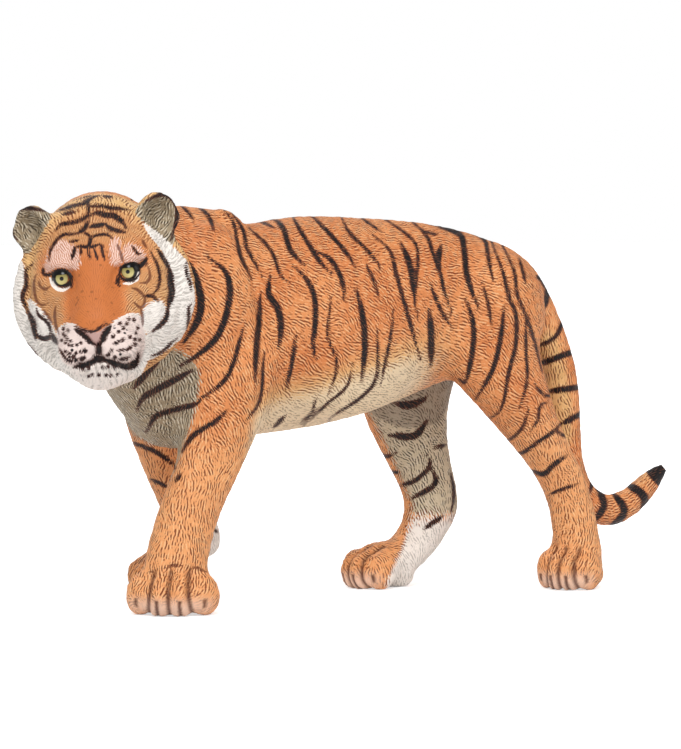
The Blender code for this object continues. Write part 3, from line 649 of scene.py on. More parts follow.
def through(points, closed=False, steps=5):
    """A smooth route through these points."""
    given = np.array(points, float)
    if closed:
        given = np.vstack([given[-1], given, given[:2]])
    else:
        given = np.vstack([2 * given[0] - given[1], given, 2 * given[-1] - given[-2]])
    share = np.linspace(0.0, 1.0, steps, endpoint=False)[:, None]
    parts = []
    for a, b, c, d in zip(given, given[1:], given[2:], given[3:]):
        bend = 2 * a - 5 * b + 4 * c - d
        turn = 3 * b - a - 3 * c + d
        parts.append(0.5 * (2 * b + (c - a) * share + bend * share**2 + turn * share**3))
    return np.vstack(parts + [given[-2]])


def near(places, route, reach):
    """Which places lie within reach of the route's box."""
    low = route.min(0) - reach
    high = route.max(0) + reach
    return np.nonzero(((places > low) & (places < high)).all(1))[0]


def segment_distance(places, start, end):
    """Distance to a segment, and how far along it the nearest point is."""
    step = end - start
    share = np.clip(((places - start) @ step) / max(step @ step, 1e-9), 0.0, 1.0)
    return np.linalg.norm(places - start - share[:, None] * step, axis=1), share


def strokes_depth(pixels, strokes, extra=0.0):
    """How deep each place lies inside painted strokes, in pixels; outside it is negative."""
    depth = np.full(len(pixels), FAR_OUTSIDE)
    for half_width, points in strokes:
        half_width += extra
        route = through(points)
        picked = near(pixels, route, half_width - FAR_OUTSIDE)
        if not len(picked):
            continue
        places = pixels[picked]
        steps = np.linalg.norm(np.diff(route, axis=0), axis=1)
        start = np.concatenate([[0.0], np.cumsum(steps)])
        best = depth[picked]
        for k, step in enumerate(steps):
            distance, share = segment_distance(places, route[k], route[k + 1])
            along = (start[k] + share * step) / start[-1]
            from_tip = ease(0.0, TIP_SHARE, np.minimum(along, 1.0 - along))
            width = half_width * mix(TIP_WIDTH, 1.0, from_tip)
            best = np.maximum(best, width - distance)
        depth[picked] = best
    return depth


def patch_depth(pixels, outline):
    """How deep each place lies inside a closed outline, in pixels; outside it is negative."""
    route = through(outline, closed=True, steps=3)
    nearest = np.full(len(pixels), 60.0)
    crossings = np.zeros(len(pixels), int)
    for start, end in zip(route, np.roll(route, -1, axis=0)):
        distance, _ = segment_distance(pixels, start, end)
        nearest = np.minimum(nearest, distance)
        spans = (start[1] > pixels[:, 1]) != (end[1] > pixels[:, 1])
        slope = (end[0] - start[0]) / (end[1] - start[1] if abs(end[1] - start[1]) > 1e-9 else 1e-9)
        crossings += spans & (pixels[:, 0] < start[0] + (pixels[:, 1] - start[1]) * slope)
    return np.where(crossings % 2 == 1, nearest, -nearest)


def patch_share(pixels, outline, low, high):
    """0 at the low depth inside a closed outline and 1 at the high one, with soft ends."""
    return ease(low, high, patch_depth(pixels, outline))


def dots_depth(pixels, rows):
    """How deep each place lies inside round spots, in pixels; outside it is negative."""
    depth = np.full(len(pixels), FAR_OUTSIDE)
    for radius, points in rows:
        for point in points:
            depth = np.maximum(depth, radius - np.linalg.norm(pixels - np.array(point), axis=1))
    return depth


def face_place():
    """Where the face is: its own X goes across it, Y into the head and Z up."""
    place = Matrix.Translation(Vector(FACE_POINT))
    place = place @ Matrix.Rotation(math.radians(FACE_TURN), 4, "Z")
    place = place @ Matrix.Rotation(math.radians(FACE_NOD), 4, "X")
    return place @ Matrix.Rotation(math.radians(FACE_ROLL), 4, "Y")


def in_place(place, points):
    """These points in a place's own axes."""
    back = np.array(place.inverted())
    return points @ back[:3, :3].T + back[:3, 3]


def skin_mesh(node):
    """The solid's surface as an even mesh, finer on the face and toes, finest at eyes and nose."""
    source = bpy.data.objects.new("skin_source", node.data.copy())
    bpy.context.scene.collection.objects.link(source)
    remesh = source.modifiers.new("even", "REMESH")
    remesh.mode = "VOXEL"
    remesh.voxel_size = SKIN_VOXEL * MM
    bpy.context.view_layer.update()
    graph = bpy.context.evaluated_depsgraph_get()
    mesh = bpy.data.meshes.new_from_object(source.evaluated_get(graph))
    bpy.data.objects.remove(source)
    refine(mesh, lambda points: face_zone(in_place(face_place(), points)) | toe_zone(points))
    refine(mesh, lambda points: feature_zone(in_place(face_place(), points)))
    return mesh


def face_zone(points):
    """The front of the face, in the face's own axes."""
    across, ahead, height = points.T
    return (np.hypot(across, height - FACE_MIDDLE) < FACE_REACH) & (ahead < FACE_BACK)


def feature_zone(points):
    """The eyes, and the nose with the middle of the mouth."""
    across, ahead, height = points.T
    eyes = (np.hypot(np.abs(across) - EYE_SPACING / 2.0, height) < EYE_REACH) & (ahead < EYE_BACK)
    nose = (np.abs(across) < NOSE_HALF_WIDTH) & (ahead < NOSE_BACK)
    nose &= (height < NOSE_TOP) & (height > MOUTH_FOOT)
    return eyes | nose


def toe_zone(points):
    """The fronts of the toes."""
    picked = np.zeros(len(points), bool)
    for paw in PAWS.values():
        local, inside = paw_coordinates(points, paw)
        picked |= (inside > 0.5) & (local[:, 1] < -0.6 * paw[-1]) & (local[:, 2] < 4.6)
    return picked


def refine(mesh, zone):
    """Splits each face in this zone into four."""
    bm = bmesh.new()
    bm.from_mesh(mesh)
    centres = np.array([face.calc_center_median() for face in bm.faces]) / MM
    picked = zone(centres)
    bm.faces.ensure_lookup_table()
    edges = {edge for k in np.nonzero(picked)[0] for edge in bm.faces[k].edges}
    bmesh.ops.subdivide_edges(bm, edges=list(edges), cuts=1, use_grid_fill=True)
    bm.to_mesh(mesh)
    bm.free()


class Parts:
    """Which part of the animal each point of the skin belongs to, and where the view puts its paint."""

    def __init__(self, skin, view):
        points = skin.points
        normals = skin.normals()
        self.middle = np.interp(points[:, 0], MIDDLE_X, MIDDLE_Y)
        self.far = points[:, 1] > self.middle
        self.head = in_place(face_place(), points)
        turn = np.array(face_place().inverted())[:3, :3]
        self.head_normal = normals @ turn.T
        across, ahead, height = self.head.T
        reach = np.hypot(across, height + 2.0)
        beard = 0.2 * np.maximum(-height - 8.0, 0.0)
        self.in_head = ease(11.0, 9.0, ahead + beard) * ease(24.0, 22.0, reach)
        self.in_face = self.in_head * ease(0.45, 0.2, self.head_normal[:, 1])
        route = through(TAIL_ROUTE)
        distance = np.full(len(points), 99.0)
        for start, end in zip(route, route[1:]):
            distance = np.minimum(distance, segment_distance(points, start, end)[0])
        below_root = ease(TAIL_ROOT, TAIL_ROOT - 2.5, points[:, 2])
        self.in_tail = ease(TAIL_RADIUS + 1.4, TAIL_RADIUS + 0.6, distance) * below_root
        self.in_far_leg = ease(*FAR_LEG_TOP, points[:, 2]) * self.far * (1.0 - self.in_tail)
        mirrored = points.copy()
        mirrored[self.far, 1] = (2.0 * self.middle - points[:, 1])[self.far]
        self.pixels = view.pixels(points)
        self.body_pixels = view.pixels(mirrored)
        self.in_body = (1.0 - self.in_head) * (1.0 - self.in_tail) * (1.0 - self.in_far_leg)
        self.normals = normals
        self.facing = ease(-0.15, 0.2, normals @ view.back)
        ear = np.stack([np.abs(across), ahead, height], axis=1) - EAR_PLACE
        off_face = ease(4.6, 5.6, np.hypot(across, height) - 6.5)
        self.in_ear = ease(7.0, 6.0, np.linalg.norm(ear, axis=1)) * off_face


def fur_lie(skin, parts):
    """The direction in which the fur lies at each point, along the skin."""
    lie = np.zeros_like(skin.points)
    guides = [(np.array(place, float), np.array(way, float)) for place, way in FUR_LIE]
    guides += [(mirror_guide(place), way * np.array([1, -1, 1])) for place, way in guides]
    for place, way in guides:
        distance = np.linalg.norm(skin.points - place, axis=1)
        lie += way / np.linalg.norm(way) / (distance[:, None] + 2.0) ** 4
    lie /= np.linalg.norm(lie, axis=1, keepdims=True)
    route = through(TAIL_ROUTE)
    tail = np.zeros_like(lie)
    for start, end in zip(route, route[1:]):
        distance, _ = segment_distance(skin.points, start, end)
        tail += (end - start) / np.linalg.norm(end - start) / (distance[:, None] + 0.5) ** 6
    tail /= np.maximum(np.linalg.norm(tail, axis=1, keepdims=True), 1e-12)
    turn = np.array(face_place())[:3, :3]
    radial = (parts.head - RADIAL_FUR_CENTRE) @ turn.T
    radial /= np.linalg.norm(radial, axis=1, keepdims=True)
    lie = mix(mix(lie, tail, parts.in_tail[:, None]), radial, parts.in_head[:, None])
    stray = np.random.default_rng(SEED).normal(size=(len(lie), 3))
    for _ in range(8):
        stray = skin.around(stray)
    lie += 0.28 * stray / stray.std()
    lie -= (lie * parts.normals).sum(1, keepdims=True) * parts.normals
    return lie / np.maximum(np.linalg.norm(lie, axis=1, keepdims=True), 1e-6)


def mirror_guide(place):
    """The same place on the body's other side."""
    middle = np.interp(place[0], MIDDLE_X, MIDDLE_Y)
    return np.array([place[0], 2.0 * middle - place[1], place[2]])


def mix(one, other, share):
    return one * (1.0 - share) + other * share


def paw_coordinates(points, paw):
    """Points in one paw's own axes, with its toes towards -Y, and how much each belongs to it."""
    point, turn, lift, width, reach = paw
    place = Matrix.Translation(Vector(point)) @ Matrix.Rotation(math.radians(turn), 4, "Z")
    local = in_place(place @ Matrix.Rotation(math.radians(lift), 4, "X"), points)
    inside = ease(1.5, 1.25, np.hypot(local[:, 0] / (width / 2.0), local[:, 1] / reach))
    return local, inside * ease(9.0, 7.5, local[:, 2])


def toe_lines(points):
    """Depths inside the gaps between toes and inside the nail slits, and the pale toe fronts."""
    gaps = np.full(len(points), OFF_TOES)
    nails = np.full(len(points), OFF_TOES)
    fronts = np.zeros(len(points))
    for paw in PAWS.values():
        local, inside = paw_coordinates(points, paw)
        width, reach = paw[-2:]
        across, ahead, height = local.T
        toe_radius = width / (2.0 * TOES) * TOE_OVERLAP
        outer = width / 2.0 - toe_radius
        fan = 1.0 - 0.03 * height
        forward = inside * ease(0.35, -0.1, ahead / reach)
        at_tip = ease(-0.4, -0.6, ahead / reach)
        for k in range(TOES):
            middle = (k - (TOES - 1) / 2.0) / ((TOES - 1) / 2.0) * outer
            slit = TOE_GAP - np.abs(across - middle * 1.04)
            slit = np.minimum(slit, NAIL_REACH - np.abs(height - NAIL_HEIGHT))
            nails = np.maximum(nails, np.where(forward * at_tip > 0.5, slit, OFF_TOES))
            if k < TOES - 1:
                gap = TOE_GAP - np.abs(across - (middle + outer / (TOES - 1)) * fan)
                gaps = np.maximum(gaps, np.where(forward > 0.5, gap, OFF_TOES))
        fronts = np.maximum(fronts, forward * ease(4.4, 1.4, height) * ease(-0.2, -0.7, ahead / reach))
    return gaps, nails, fronts


def sculpt_face(skin, parts):
    """Cuts the mouth, nostrils and muzzle lines, and raises the rims of the eyes."""
    pixels = parts.pixels
    front = parts.in_face
    normals = skin.normals()
    wings = NOSE_LINES[1:]
    for (depth, width), lines in ((MOUTH_CUT, MOUTH_LINES), (NOSE_CUT, wings), (MUZZLE_CUT, MUZZLE_LINES)):
        amount = ease(-width, 0.6, strokes_depth(pixels, lines))
        skin.points -= normals * (front * amount * depth)[:, None]
    dimples = ease(-1.2, 0.6, dots_depth(pixels, WHISKER_DOTS))
    skin.points -= normals * (front * dimples * DIMPLE_DEPTH)[:, None]
    rims = strokes_depth(pixels, EYE_LINES[:2])
    skin.points += normals * (front * ease(-1.5, 1.0, rims) * RIM_LIFT)[:, None]


def sculpt_toes(skin):
    """Cuts the gaps between the toes and the slits of the nails."""
    gaps, nails, _ = toe_lines(skin.points)
    normals = skin.normals()
    cut = ease(-0.5, 0.2, gaps) * GAP_DEPTH + ease(-0.3, 0.1, nails) * NAIL_DEPTH
    skin.points -= normals * cut[:, None]


def brush_fur(skin, lie, across, share, chance, locks):
    """How far tapering locks along the skin raise it, spread at random where this share is high."""
    count, length, width, height = locks
    places = chance.choice(len(skin.points), count, p=share / share.sum())
    tree = KDTree(len(skin.points))
    for index, point in enumerate(skin.points):
        tree.insert(point, index)
    tree.balance()
    lift = np.zeros(len(skin.points))
    for index in places:
        centre = skin.points[index]
        found = np.array([item[1] for item in tree.find_range(centre, length / 2.0)])
        offset = skin.points[found] - centre
        along = offset @ lie[index] / (length / 2.0)
        aside = offset @ across[index] / (width / 2.0)
        shape = np.clip(1.0 - along * along, 0.0, 1.0) * np.exp(-1.6 * aside * aside)
        lift[found] = np.maximum(lift[found], shape * (0.75 - 0.25 * along))
    return (lift - 0.45) * height


def dress_fur(skin, parts, lie):
    """Real relief for the coarser locks: long ones on the ruff, short ones elsewhere."""
    chance = np.random.default_rng(SEED)
    normals = parts.normals
    across = np.cross(normals, lie)
    reach = np.hypot(parts.head[:, 0], parts.head[:, 2] + 2.0)
    ruff = parts.in_head * ease(11.0, 13.5, reach) * ease(6.0, 2.0, parts.head[:, 2])
    fronts = toe_lines(skin.points)[2]
    eye_reach = np.hypot(np.abs(parts.head[:, 0]) - EYE_SPACING / 2.0, parts.head[:, 2])
    by_eye = parts.in_face * ease(3.4, 2.8, eye_reach)
    plain = np.clip(0.8 * bridge_share(parts) + 0.8 * fronts + by_eye, 0.0, 1.0)
    amount = (1.0 - plain) * (1.0 - 0.6 * parts.in_face)
    lift = brush_fur(skin, lie, across, amount, chance, SHORT_LOCKS) * (1.0 - plain) * (1.0 - ruff)
    lift += brush_fur(skin, lie, across, ruff, chance, RUFF_LOCKS) * ruff
    lift *= np.where(parts.in_face > 0.5, ease(2.4, 3.2, eye_reach) * 0.6, 1.0)
    lift *= ease(0.0, 1.0, skin.points[:, 2])
    skin.points += normals * lift[:, None]
    return across, plain


def hollows(skin):
    """How far each point lies below the mean of the skin around it."""
    mean = skin.points.copy()
    for _ in range(40):
        mean += 0.6 * (skin.around(mean) - mean)
    return ((mean - skin.points) * skin.normals()).sum(1)


def bridge_share(parts):
    """How much each point belongs to the smooth bridge of the nose."""
    return parts.in_face * ease(6.0, 4.0, np.abs(parts.head[:, 0])) * ease(8.0, 5.0, parts.head[:, 2])


def paint_markings(skin, parts):
    """Writes the black stripes and lines, and the thin brown ones, as depths in millimetres."""
    pixels = parts.pixels
    face_lines = FACE_LINES + NOSE_LINES + MOUTH_LINES + MUZZLE_LINES + EYE_LINES + EAR_RIMS
    dots = dots_depth(pixels, WHISKER_DOTS) + DOT_EXTRA
    layers = [
        (parts.in_body, strokes_depth(parts.body_pixels, BODY_STRIPES + NECK_STRIPES, STRIPE_EXTRA)),
        (parts.in_far_leg, strokes_depth(pixels, FAR_LEG_STRIPES, STRIPE_EXTRA)),
        (parts.in_tail, np.maximum(strokes_depth(pixels, TAIL_BANDS), patch_depth(pixels, TAIL_TIP))),
        (parts.in_face, np.maximum(strokes_depth(pixels, face_lines, LINE_EXTRA), dots)),
    ]
    marking = np.full(len(pixels), FAR_OUTSIDE)
    for share, depth in layers:
        marking = np.maximum(marking, depth - (1.0 - share) * KEEP_OUT)
    ear_back = parts.in_ear * ease(0.1, 0.4, parts.head_normal[:, 1])
    marking = np.maximum(marking, mix(FAR_OUTSIDE, 3.0, ear_back))
    skin.paint("marking", marking * MM_PER_PIXEL)

    along, _, height = skin.points.T
    fore_paw = ease(*FORE_PAW_TOP, height) * ease(*FORE_PAW_BACK, along) * ~parts.far
    brown = strokes_depth(pixels, BROWN_LINES, LINE_EXTRA) * MM_PER_PIXEL
    skin.paint("brown_line", brown - (1.0 - np.maximum(parts.in_face, fore_paw)) * KEEP_OUT)


def leg_zones(skin, parts):
    """The far hind leg's inner side, the white heels of the far legs, and the groin."""
    along, side, _ = skin.points.T
    across, down = parts.pixels.T
    edge_across, edge_down = np.array(FAR_HIND_EDGE, float).T
    far_hind = parts.in_far_leg * ease(*HIND_LEG_FRONT, along)
    inner = ease(-8.0, 8.0, across - np.interp(down, edge_down, edge_across)) * far_hind * parts.facing
    front_heel = patch_share(parts.pixels, FAR_HEEL, -1.5, 1.5) * parts.in_far_leg * parts.facing
    heel = np.maximum(inner * ease(HEEL_TOP_PIXEL, HEEL_FULL_PIXEL, down), front_heel)
    hind_side = ease(*GROIN_FRONT, along) * ease(-3.0, -1.0, side - parts.middle)
    groin = patch_share(parts.pixels, GROIN, -3.0, 3.0) * hind_side * parts.facing * (1.0 - parts.in_tail)
    return inner, heel, groin


def white_zone(parts, heel):
    """White paint: muzzle, chin, ruff, cheeks, under the eyes, and the heels."""
    pixels = parts.pixels
    patches = [
        (MUZZLE, 3.0), (CHIN, 2.0), (RUFF_RIGHT, 2.0), (RUFF_LEFT, 2.0),
        (CHEEK_RIGHT, 5.0), (CHEEK_LEFT, 4.0),
    ]
    white = np.max([patch_share(pixels, outline, -soft, soft) for outline, soft in patches], axis=0)
    white = np.maximum(white, ease(-0.6, 0.6, strokes_depth(pixels, EYE_WHITES)))
    return np.maximum(white * parts.in_face, heel)


def body_zones(skin, parts):
    """The cream belly, the tan flank above it, the grey chest, the tail's tan front and the legs."""
    along, _, height = skin.points.T
    off_tail = 1.0 - parts.in_tail
    edge_across, edge_down = np.array(BELLY_EDGE, float).T
    below = parts.body_pixels[:, 1] - np.interp(parts.body_pixels[:, 0], edge_across, edge_down)
    lengthwise = ease(*BELLY_FRONT, along) * ease(*BELLY_BACK, along) * parts.in_body
    belly = ease(-22.0, 14.0, below) * lengthwise
    flank = ease(-34.0, 0.0, below) * lengthwise
    chest = patch_share(parts.body_pixels, CHEST, -9.0, 6.0) * (1.0 - parts.in_head) * off_tail
    tail_front = parts.in_tail * ease(0.2, -0.4, parts.normals[:, 0]) * ease(*TAIL_FRONT_FOOT, height)
    return belly, flank, chest, tail_front, ease(*LEG_TOP, height) * off_tail


def paint_zones(skin, parts, plain):
    """Writes how much each point belongs to each painted zone, for the material to read."""
    face = parts.in_face
    pixels = parts.pixels
    across, _, height = parts.head.T
    from_eyes = np.hypot(across, height)
    inner, heel, groin = leg_zones(skin, parts)
    belly, flank, chest, tail_front, leg = body_zones(skin, parts)
    white = white_zone(parts, heel)
    not_white = 1.0 - white
    ears = np.maximum(patch_depth(pixels, EAR_LEFT), patch_depth(pixels, EAR_RIGHT))
    face_edge = face * ease(9.5, 12.5, from_eyes) * not_white
    crown = parts.in_head * ease(3.0, 7.0, height) * ease(13.0, 9.5, from_eyes) * not_white
    cheeks = face * ease(4.6, 6.6, np.abs(across)) * ease(2.0, -1.0, height) * not_white
    brows = [patch_share(pixels, outline, -5.0, 4.0) for outline in (BROW_LEFT, BROW_RIGHT, BROW_OUTER)]
    ruff = parts.in_head * ease(10.0, 13.0, np.hypot(across, height + 2.0))
    gaps, nails, fronts = toe_lines(skin.points)
    # Painted shade: darker where the skin lies below the mean of the skin around it, away from the face
    hollow_shade = ease(0.5, 1.5, hollows(skin)) * 0.5 * (1.0 - face)
    zones = {
        "groin": groin,
        "inner_leg": inner,
        "bridge": bridge_share(parts) * ease(5.5, 2.5, height + 0.25 * np.abs(across)) * not_white,
        "crown": np.maximum(crown, cheeks),
        "white": white,
        "olive": np.max([chest, inner * (1.0 - heel), ease(-1.0, 1.0, ears) * face], axis=0),
        "tan": np.max([flank, face_edge, tail_front], axis=0),
        "belly": belly,
        "brow": np.max(brows, axis=0) * face,
        "toe_front": fronts,
        "leather": face * patch_share(pixels, NOSE_LEATHER, -1.0, 1.0),
        "leg": leg,
        "freckled": face * np.maximum(patch_share(pixels, MUZZLE, 0.0, 3.0), 0.35 * bridge_share(parts)),
        "ruff": ruff,
        "furless": plain,
        "fine_fur": face * (1.0 - ruff),
        # Dark lines in the toe gaps and nail slits, with painted shade in the hollows
        "gap_lines_and_hollow_shade": np.max([ease(-0.35, 0.15, gaps), ease(-0.25, 0.08, nails), hollow_shade], axis=0),
    }
    for name, share in zones.items():
        skin.paint(name, share)


class Nodes:
    """A short way to add and join shader nodes."""

    def __init__(self, name):
        self.material = bpy.data.materials.new(name)
        self.material.use_nodes = True
        self.tree = self.material.node_tree
        self.shader = self.tree.nodes["Principled BSDF"]

    def add(self, kind, **settings):
        node = self.tree.nodes.new("ShaderNode" + kind)
        for name, value in settings.items():
            setattr(node, name, value)
        return node

    def join(self, source, target):
        self.tree.links.new(source, target)

    def put(self, socket, value):
        """Joins a socket to this one, or sets it to a number or colour."""
        if isinstance(value, bpy.types.NodeSocket):
            self.join(value, socket)
        else:
            socket.default_value = value

    def field(self, name):
        return self.add("Attribute", attribute_name=name).outputs["Fac"]

    def vector_field(self, name):
        return self.add("Attribute", attribute_name=name).outputs["Vector"]

    def math(self, operation, one, other, third=0.0):
        node = self.add("Math", operation=operation)
        self.put(node.inputs[0], one)
        self.put(node.inputs[1], other)
        self.put(node.inputs[2], third)
        return node.outputs[0]

    def times(self, one, other):
        return self.math("MULTIPLY", one, other)

    def between(self, share, one, other):
        """One value where the share is 0, and the other where it is 1."""
        return self.math("MULTIPLY_ADD", share, self.math("SUBTRACT", other, one), one)

    def ramp(self, value, low, high, start=0.0, end=1.0):
        node = self.add("MapRange", interpolation_type="SMOOTHSTEP")
        self.put(node.inputs["Value"], value)
        for name, number in (("From Min", low), ("From Max", high), ("To Min", start), ("To Max", end)):
            node.inputs[name].default_value = number
        return node.outputs["Result"]

    def blend(self, share, one, other):
        """One colour where the share is 0, and the other where it is 1."""
        node = self.add("Mix", data_type="RGBA")
        self.put(node.inputs[0], share)
        self.put(node.inputs[6], one)
        self.put(node.inputs[7], other)
        return node.outputs[2]

    def cover(self, base, name, amount, colour):
        """A base colour with another over it, by this amount where the named zone is."""
        return self.blend(self.times(self.field(name), amount), base, linear(colour))

    def stirred(self, value, hair, amount):
        """A value that is higher on the hairs and lower between them."""
        return self.math("MULTIPLY_ADD", self.math("SUBTRACT", hair, 0.5), amount, value)

    def object_point(self):
        return self.add("TexCoord").outputs["Object"]

    def noise(self, scale):
        node = self.add("TexNoise")
        self.join(self.object_point(), node.inputs["Vector"])
        node.inputs["Scale"].default_value = scale
        node.inputs["Detail"].default_value = 2.0
        return node.outputs["Fac"]

    def frayed(self, name, hair, amount=1.4, soft=0.2):
        """A painted zone whose edge breaks up along the hairs."""
        zone = self.field(name)
        edge = self.times(zone, self.math("SUBTRACT", 1.0, zone))
        loose = self.times(self.math("SUBTRACT", hair, 0.5), edge)
        return self.ramp(self.math("MULTIPLY_ADD", loose, 4.0 * amount, zone), 0.5 - soft, 0.5 + soft)

    def specks(self, scale, radius):
        """Scattered round spots, 1 inside and 0 outside."""
        node = self.add("TexVoronoi")
        self.join(self.object_point(), node.inputs["Vector"])
        node.inputs["Scale"].default_value = scale
        return self.ramp(node.outputs["Distance"], radius + 0.06, radius - 0.06)

    def hairs(self, scale, frequency):
        """Short lines along the fur, from 0 in the grooves to 1 on the ridges."""
        node = self.add("TexGabor", gabor_type="3D")
        self.join(self.object_point(), node.inputs["Vector"])
        self.join(self.vector_field("fur_across"), node.inputs["Orientation 3D"])
        node.inputs["Scale"].default_value = scale
        node.inputs["Frequency"].default_value = frequency
        node.inputs["Anisotropy"].default_value = 1.0
        return node.outputs["Value"]


def coat_paint():
    """Orange paint with pale zones and black stripes; a dark wash in the fur's grooves that also stands for
    their shade, and a painted highlight on the hair ridges.
    """
    n = Nodes("coat_paint")
    hair = n.hairs(*HAIR)
    fine = n.hairs(*FINE_HAIR)
    clump = n.hairs(*TUFT_HAIR)
    furry = n.ramp(n.field("furless"), 0.0, 1.0, 1.0, 0.25)
    # The grooves between the hairs get a dark wash that also stands for the shade in them
    dashes = n.times(n.ramp(hair, 0.52, 0.4), n.ramp(n.noise(800.0), 0.38, 0.52))
    groove_wash_and_shade = n.between(n.field("fine_fur"), dashes, n.times(n.ramp(fine, 0.48, 0.36), 0.75))
    groove_wash_and_shade = n.times(groove_wash_and_shade, furry)
    # The ridges of the hairs get a painted highlight
    ridge_highlight = n.between(n.field("fine_fur"), n.ramp(hair, 0.52, 0.7), n.ramp(fine, 0.52, 0.7))
    ridge_highlight = n.times(ridge_highlight, furry)

    base = n.blend(n.ramp(n.noise(90.0), 0.35, 0.7), linear(ORANGE), linear(DEEP_ORANGE))
    base = n.cover(base, "leg", 0.7, LIGHT_ORANGE)
    base = n.cover(base, "tan", 0.85, TAN)
    base = n.cover(base, "crown", 0.8, CROWN_TAN)
    # Painted highlight on the hair ridges
    base = n.blend(n.times(ridge_highlight, 0.6), base, linear(RIDGE_HIGHLIGHT))
    base = n.cover(base, "bridge", 0.85, BRIDGE_ORANGE)
    # Dark wash and painted shade in the grooves
    base = n.blend(n.times(groove_wash_and_shade, 0.85), base, linear(RECESS_WASH_AND_SHADE))
    brow = n.blend(n.ramp(fine, 0.42, 0.58), linear(BROW), linear(BROW_RIDGE))
    base = n.blend(n.frayed("brow", hair, 2.4), base, brow)
    olive = n.blend(n.field("inner_leg"), linear(OLIVE), linear(PALE_OLIVE))
    # Grey fur: painted highlight on its hair ridges, dark wash and painted shade in its grooves
    olive = n.blend(ridge_highlight, olive, linear(OLIVE_RIDGE_HIGHLIGHT))
    olive = n.blend(n.times(groove_wash_and_shade, 0.9), olive, linear(OLIVE_RECESS_WASH_AND_SHADE))
    base = n.blend(n.frayed("olive", hair, 2.0), base, olive)
    # Cream belly, with dark wash and painted shade in its grooves
    cream = n.blend(n.times(groove_wash_and_shade, 0.6), linear(CREAM), linear(CREAM_RECESS_WASH_AND_SHADE))
    base = n.blend(n.frayed("belly", hair, 1.2, 0.45), base, cream)
    # Painted shade between the ruff's locks, with the grooves' wash and shade, darkens the white
    tuft = n.times(n.ramp(clump, 0.48, 0.34), n.field("ruff"))
    shade = n.math("MAXIMUM", n.times(groove_wash_and_shade, 0.45), n.times(tuft, 0.4))
    white = n.blend(n.field("freckled"), linear(WHITE), linear(MUZZLE_PINK))
    white = n.blend(shade, white, linear(WHITE_RECESS_WASH_AND_SHADE))
    # Grey groin, with dark wash and painted shade in its grooves
    groin = n.blend(n.times(groove_wash_and_shade, 0.8), linear(GROIN_GREY), linear(OLIVE_RECESS_WASH_AND_SHADE))
    base = n.blend(n.frayed("groin", hair), base, groin)
    base = n.blend(n.frayed("white", hair), base, white)
    base = n.cover(base, "toe_front", 0.65, TOE_PINK)
    base = n.blend(n.field("leather"), base, linear(PINK))
    # Dark lines in the toe gaps and nail slits, and painted shade in the skin's hollows
    base = n.cover(base, "gap_lines_and_hollow_shade", 0.85, GAP_LINE_AND_HOLLOW_SHADE)
    speck = n.times(n.specks(820.0, 0.24), n.ramp(n.noise(420.0), 0.5, 0.56))
    speck = n.times(speck, n.field("freckled"))
    base = n.blend(speck, base, linear(STRIPE_BLACK))

    ragged = n.stirred(n.field("marking"), fine, 0.9)
    ragged = n.stirred(ragged, hair, 0.4)
    ink = n.blend(n.ramp(ragged, 0.0, 0.25), linear(STRIPE_BROWN), linear(STRIPE_BLACK))
    # Painted highlight on the hair ridges within the stripes
    ink = n.blend(n.times(ridge_highlight, 0.75), ink, linear(STRIPE_RIDGE_HIGHLIGHT))
    thin = n.stirred(n.field("brown_line"), fine, 0.5)
    base = n.blend(n.times(n.ramp(thin, -0.1, 0.12), 0.8), base, linear(LINE_BROWN))
    base = n.blend(n.ramp(ragged, -0.14, 0.1), base, ink)
    n.join(base, n.shader.inputs["Base Color"])

    height = n.between(n.field("fine_fur"), n.math("MULTIPLY_ADD", fine, 0.4, hair), fine)
    height = n.times(height, furry)
    height = n.math("MULTIPLY_ADD", n.times(clump, n.field("ruff")), 1.6, height)
    bump = n.add("Bump")
    bump.inputs["Strength"].default_value = 1.0
    bump.inputs["Distance"].default_value = BUMP_DEPTH * MM
    n.join(height, bump.inputs["Height"])
    n.join(bump.outputs["Normal"], n.shader.inputs["Normal"])
    n.join(n.ramp(hair, 0.2, 0.8, 0.66, 0.5), n.shader.inputs["Roughness"])
    n.shader.inputs["Specular IOR Level"].default_value = 0.25
    return n.material


def eye_paint():
    """A yellow iris with a small pupil, dark around it and under the lid, white low at the rim."""
    n = Nodes("eye_paint")
    split = n.add("SeparateXYZ")
    n.join(n.object_point(), split.inputs[0])
    across = split.outputs["X"]
    height = split.outputs["Z"]
    radius = n.math("POWER", n.math("ADD", n.times(across, across), n.times(height, height)), 0.5)
    colour = n.blend(n.ramp(height, -1.0 * MM, 1.0 * MM), linear(IRIS_LIGHT), linear(IRIS_DARK))
    past_iris = n.ramp(radius, (IRIS_RADIUS - 0.15) * MM, (IRIS_RADIUS + 0.1) * MM)
    in_pupil = n.ramp(radius, (PUPIL_RADIUS + 0.08) * MM, (PUPIL_RADIUS - 0.08) * MM)
    # Black over the top of the ball: the lid's painted line, which also stands for the lid's shadow on the
    # eye
    lid_line_and_shadow = n.ramp(height, (LID_HEIGHT - 0.1) * MM, (LID_HEIGHT + 0.1) * MM)
    for share in (past_iris, in_pupil, lid_line_and_shadow):
        colour = n.blend(share, colour, linear(PUPIL))
    outer = n.ramp(radius, (RIM_RADIUS - 0.08) * MM, (RIM_RADIUS + 0.08) * MM)
    lower = n.ramp(height, -0.1 * MM, -0.5 * MM)
    colour = n.blend(n.times(outer, lower), colour, linear(WHITE))
    n.join(colour, n.shader.inputs["Base Color"])
    n.shader.inputs["Roughness"].default_value = 0.2
    n.shader.inputs["Specular IOR Level"].default_value = 0.25
    return n.material


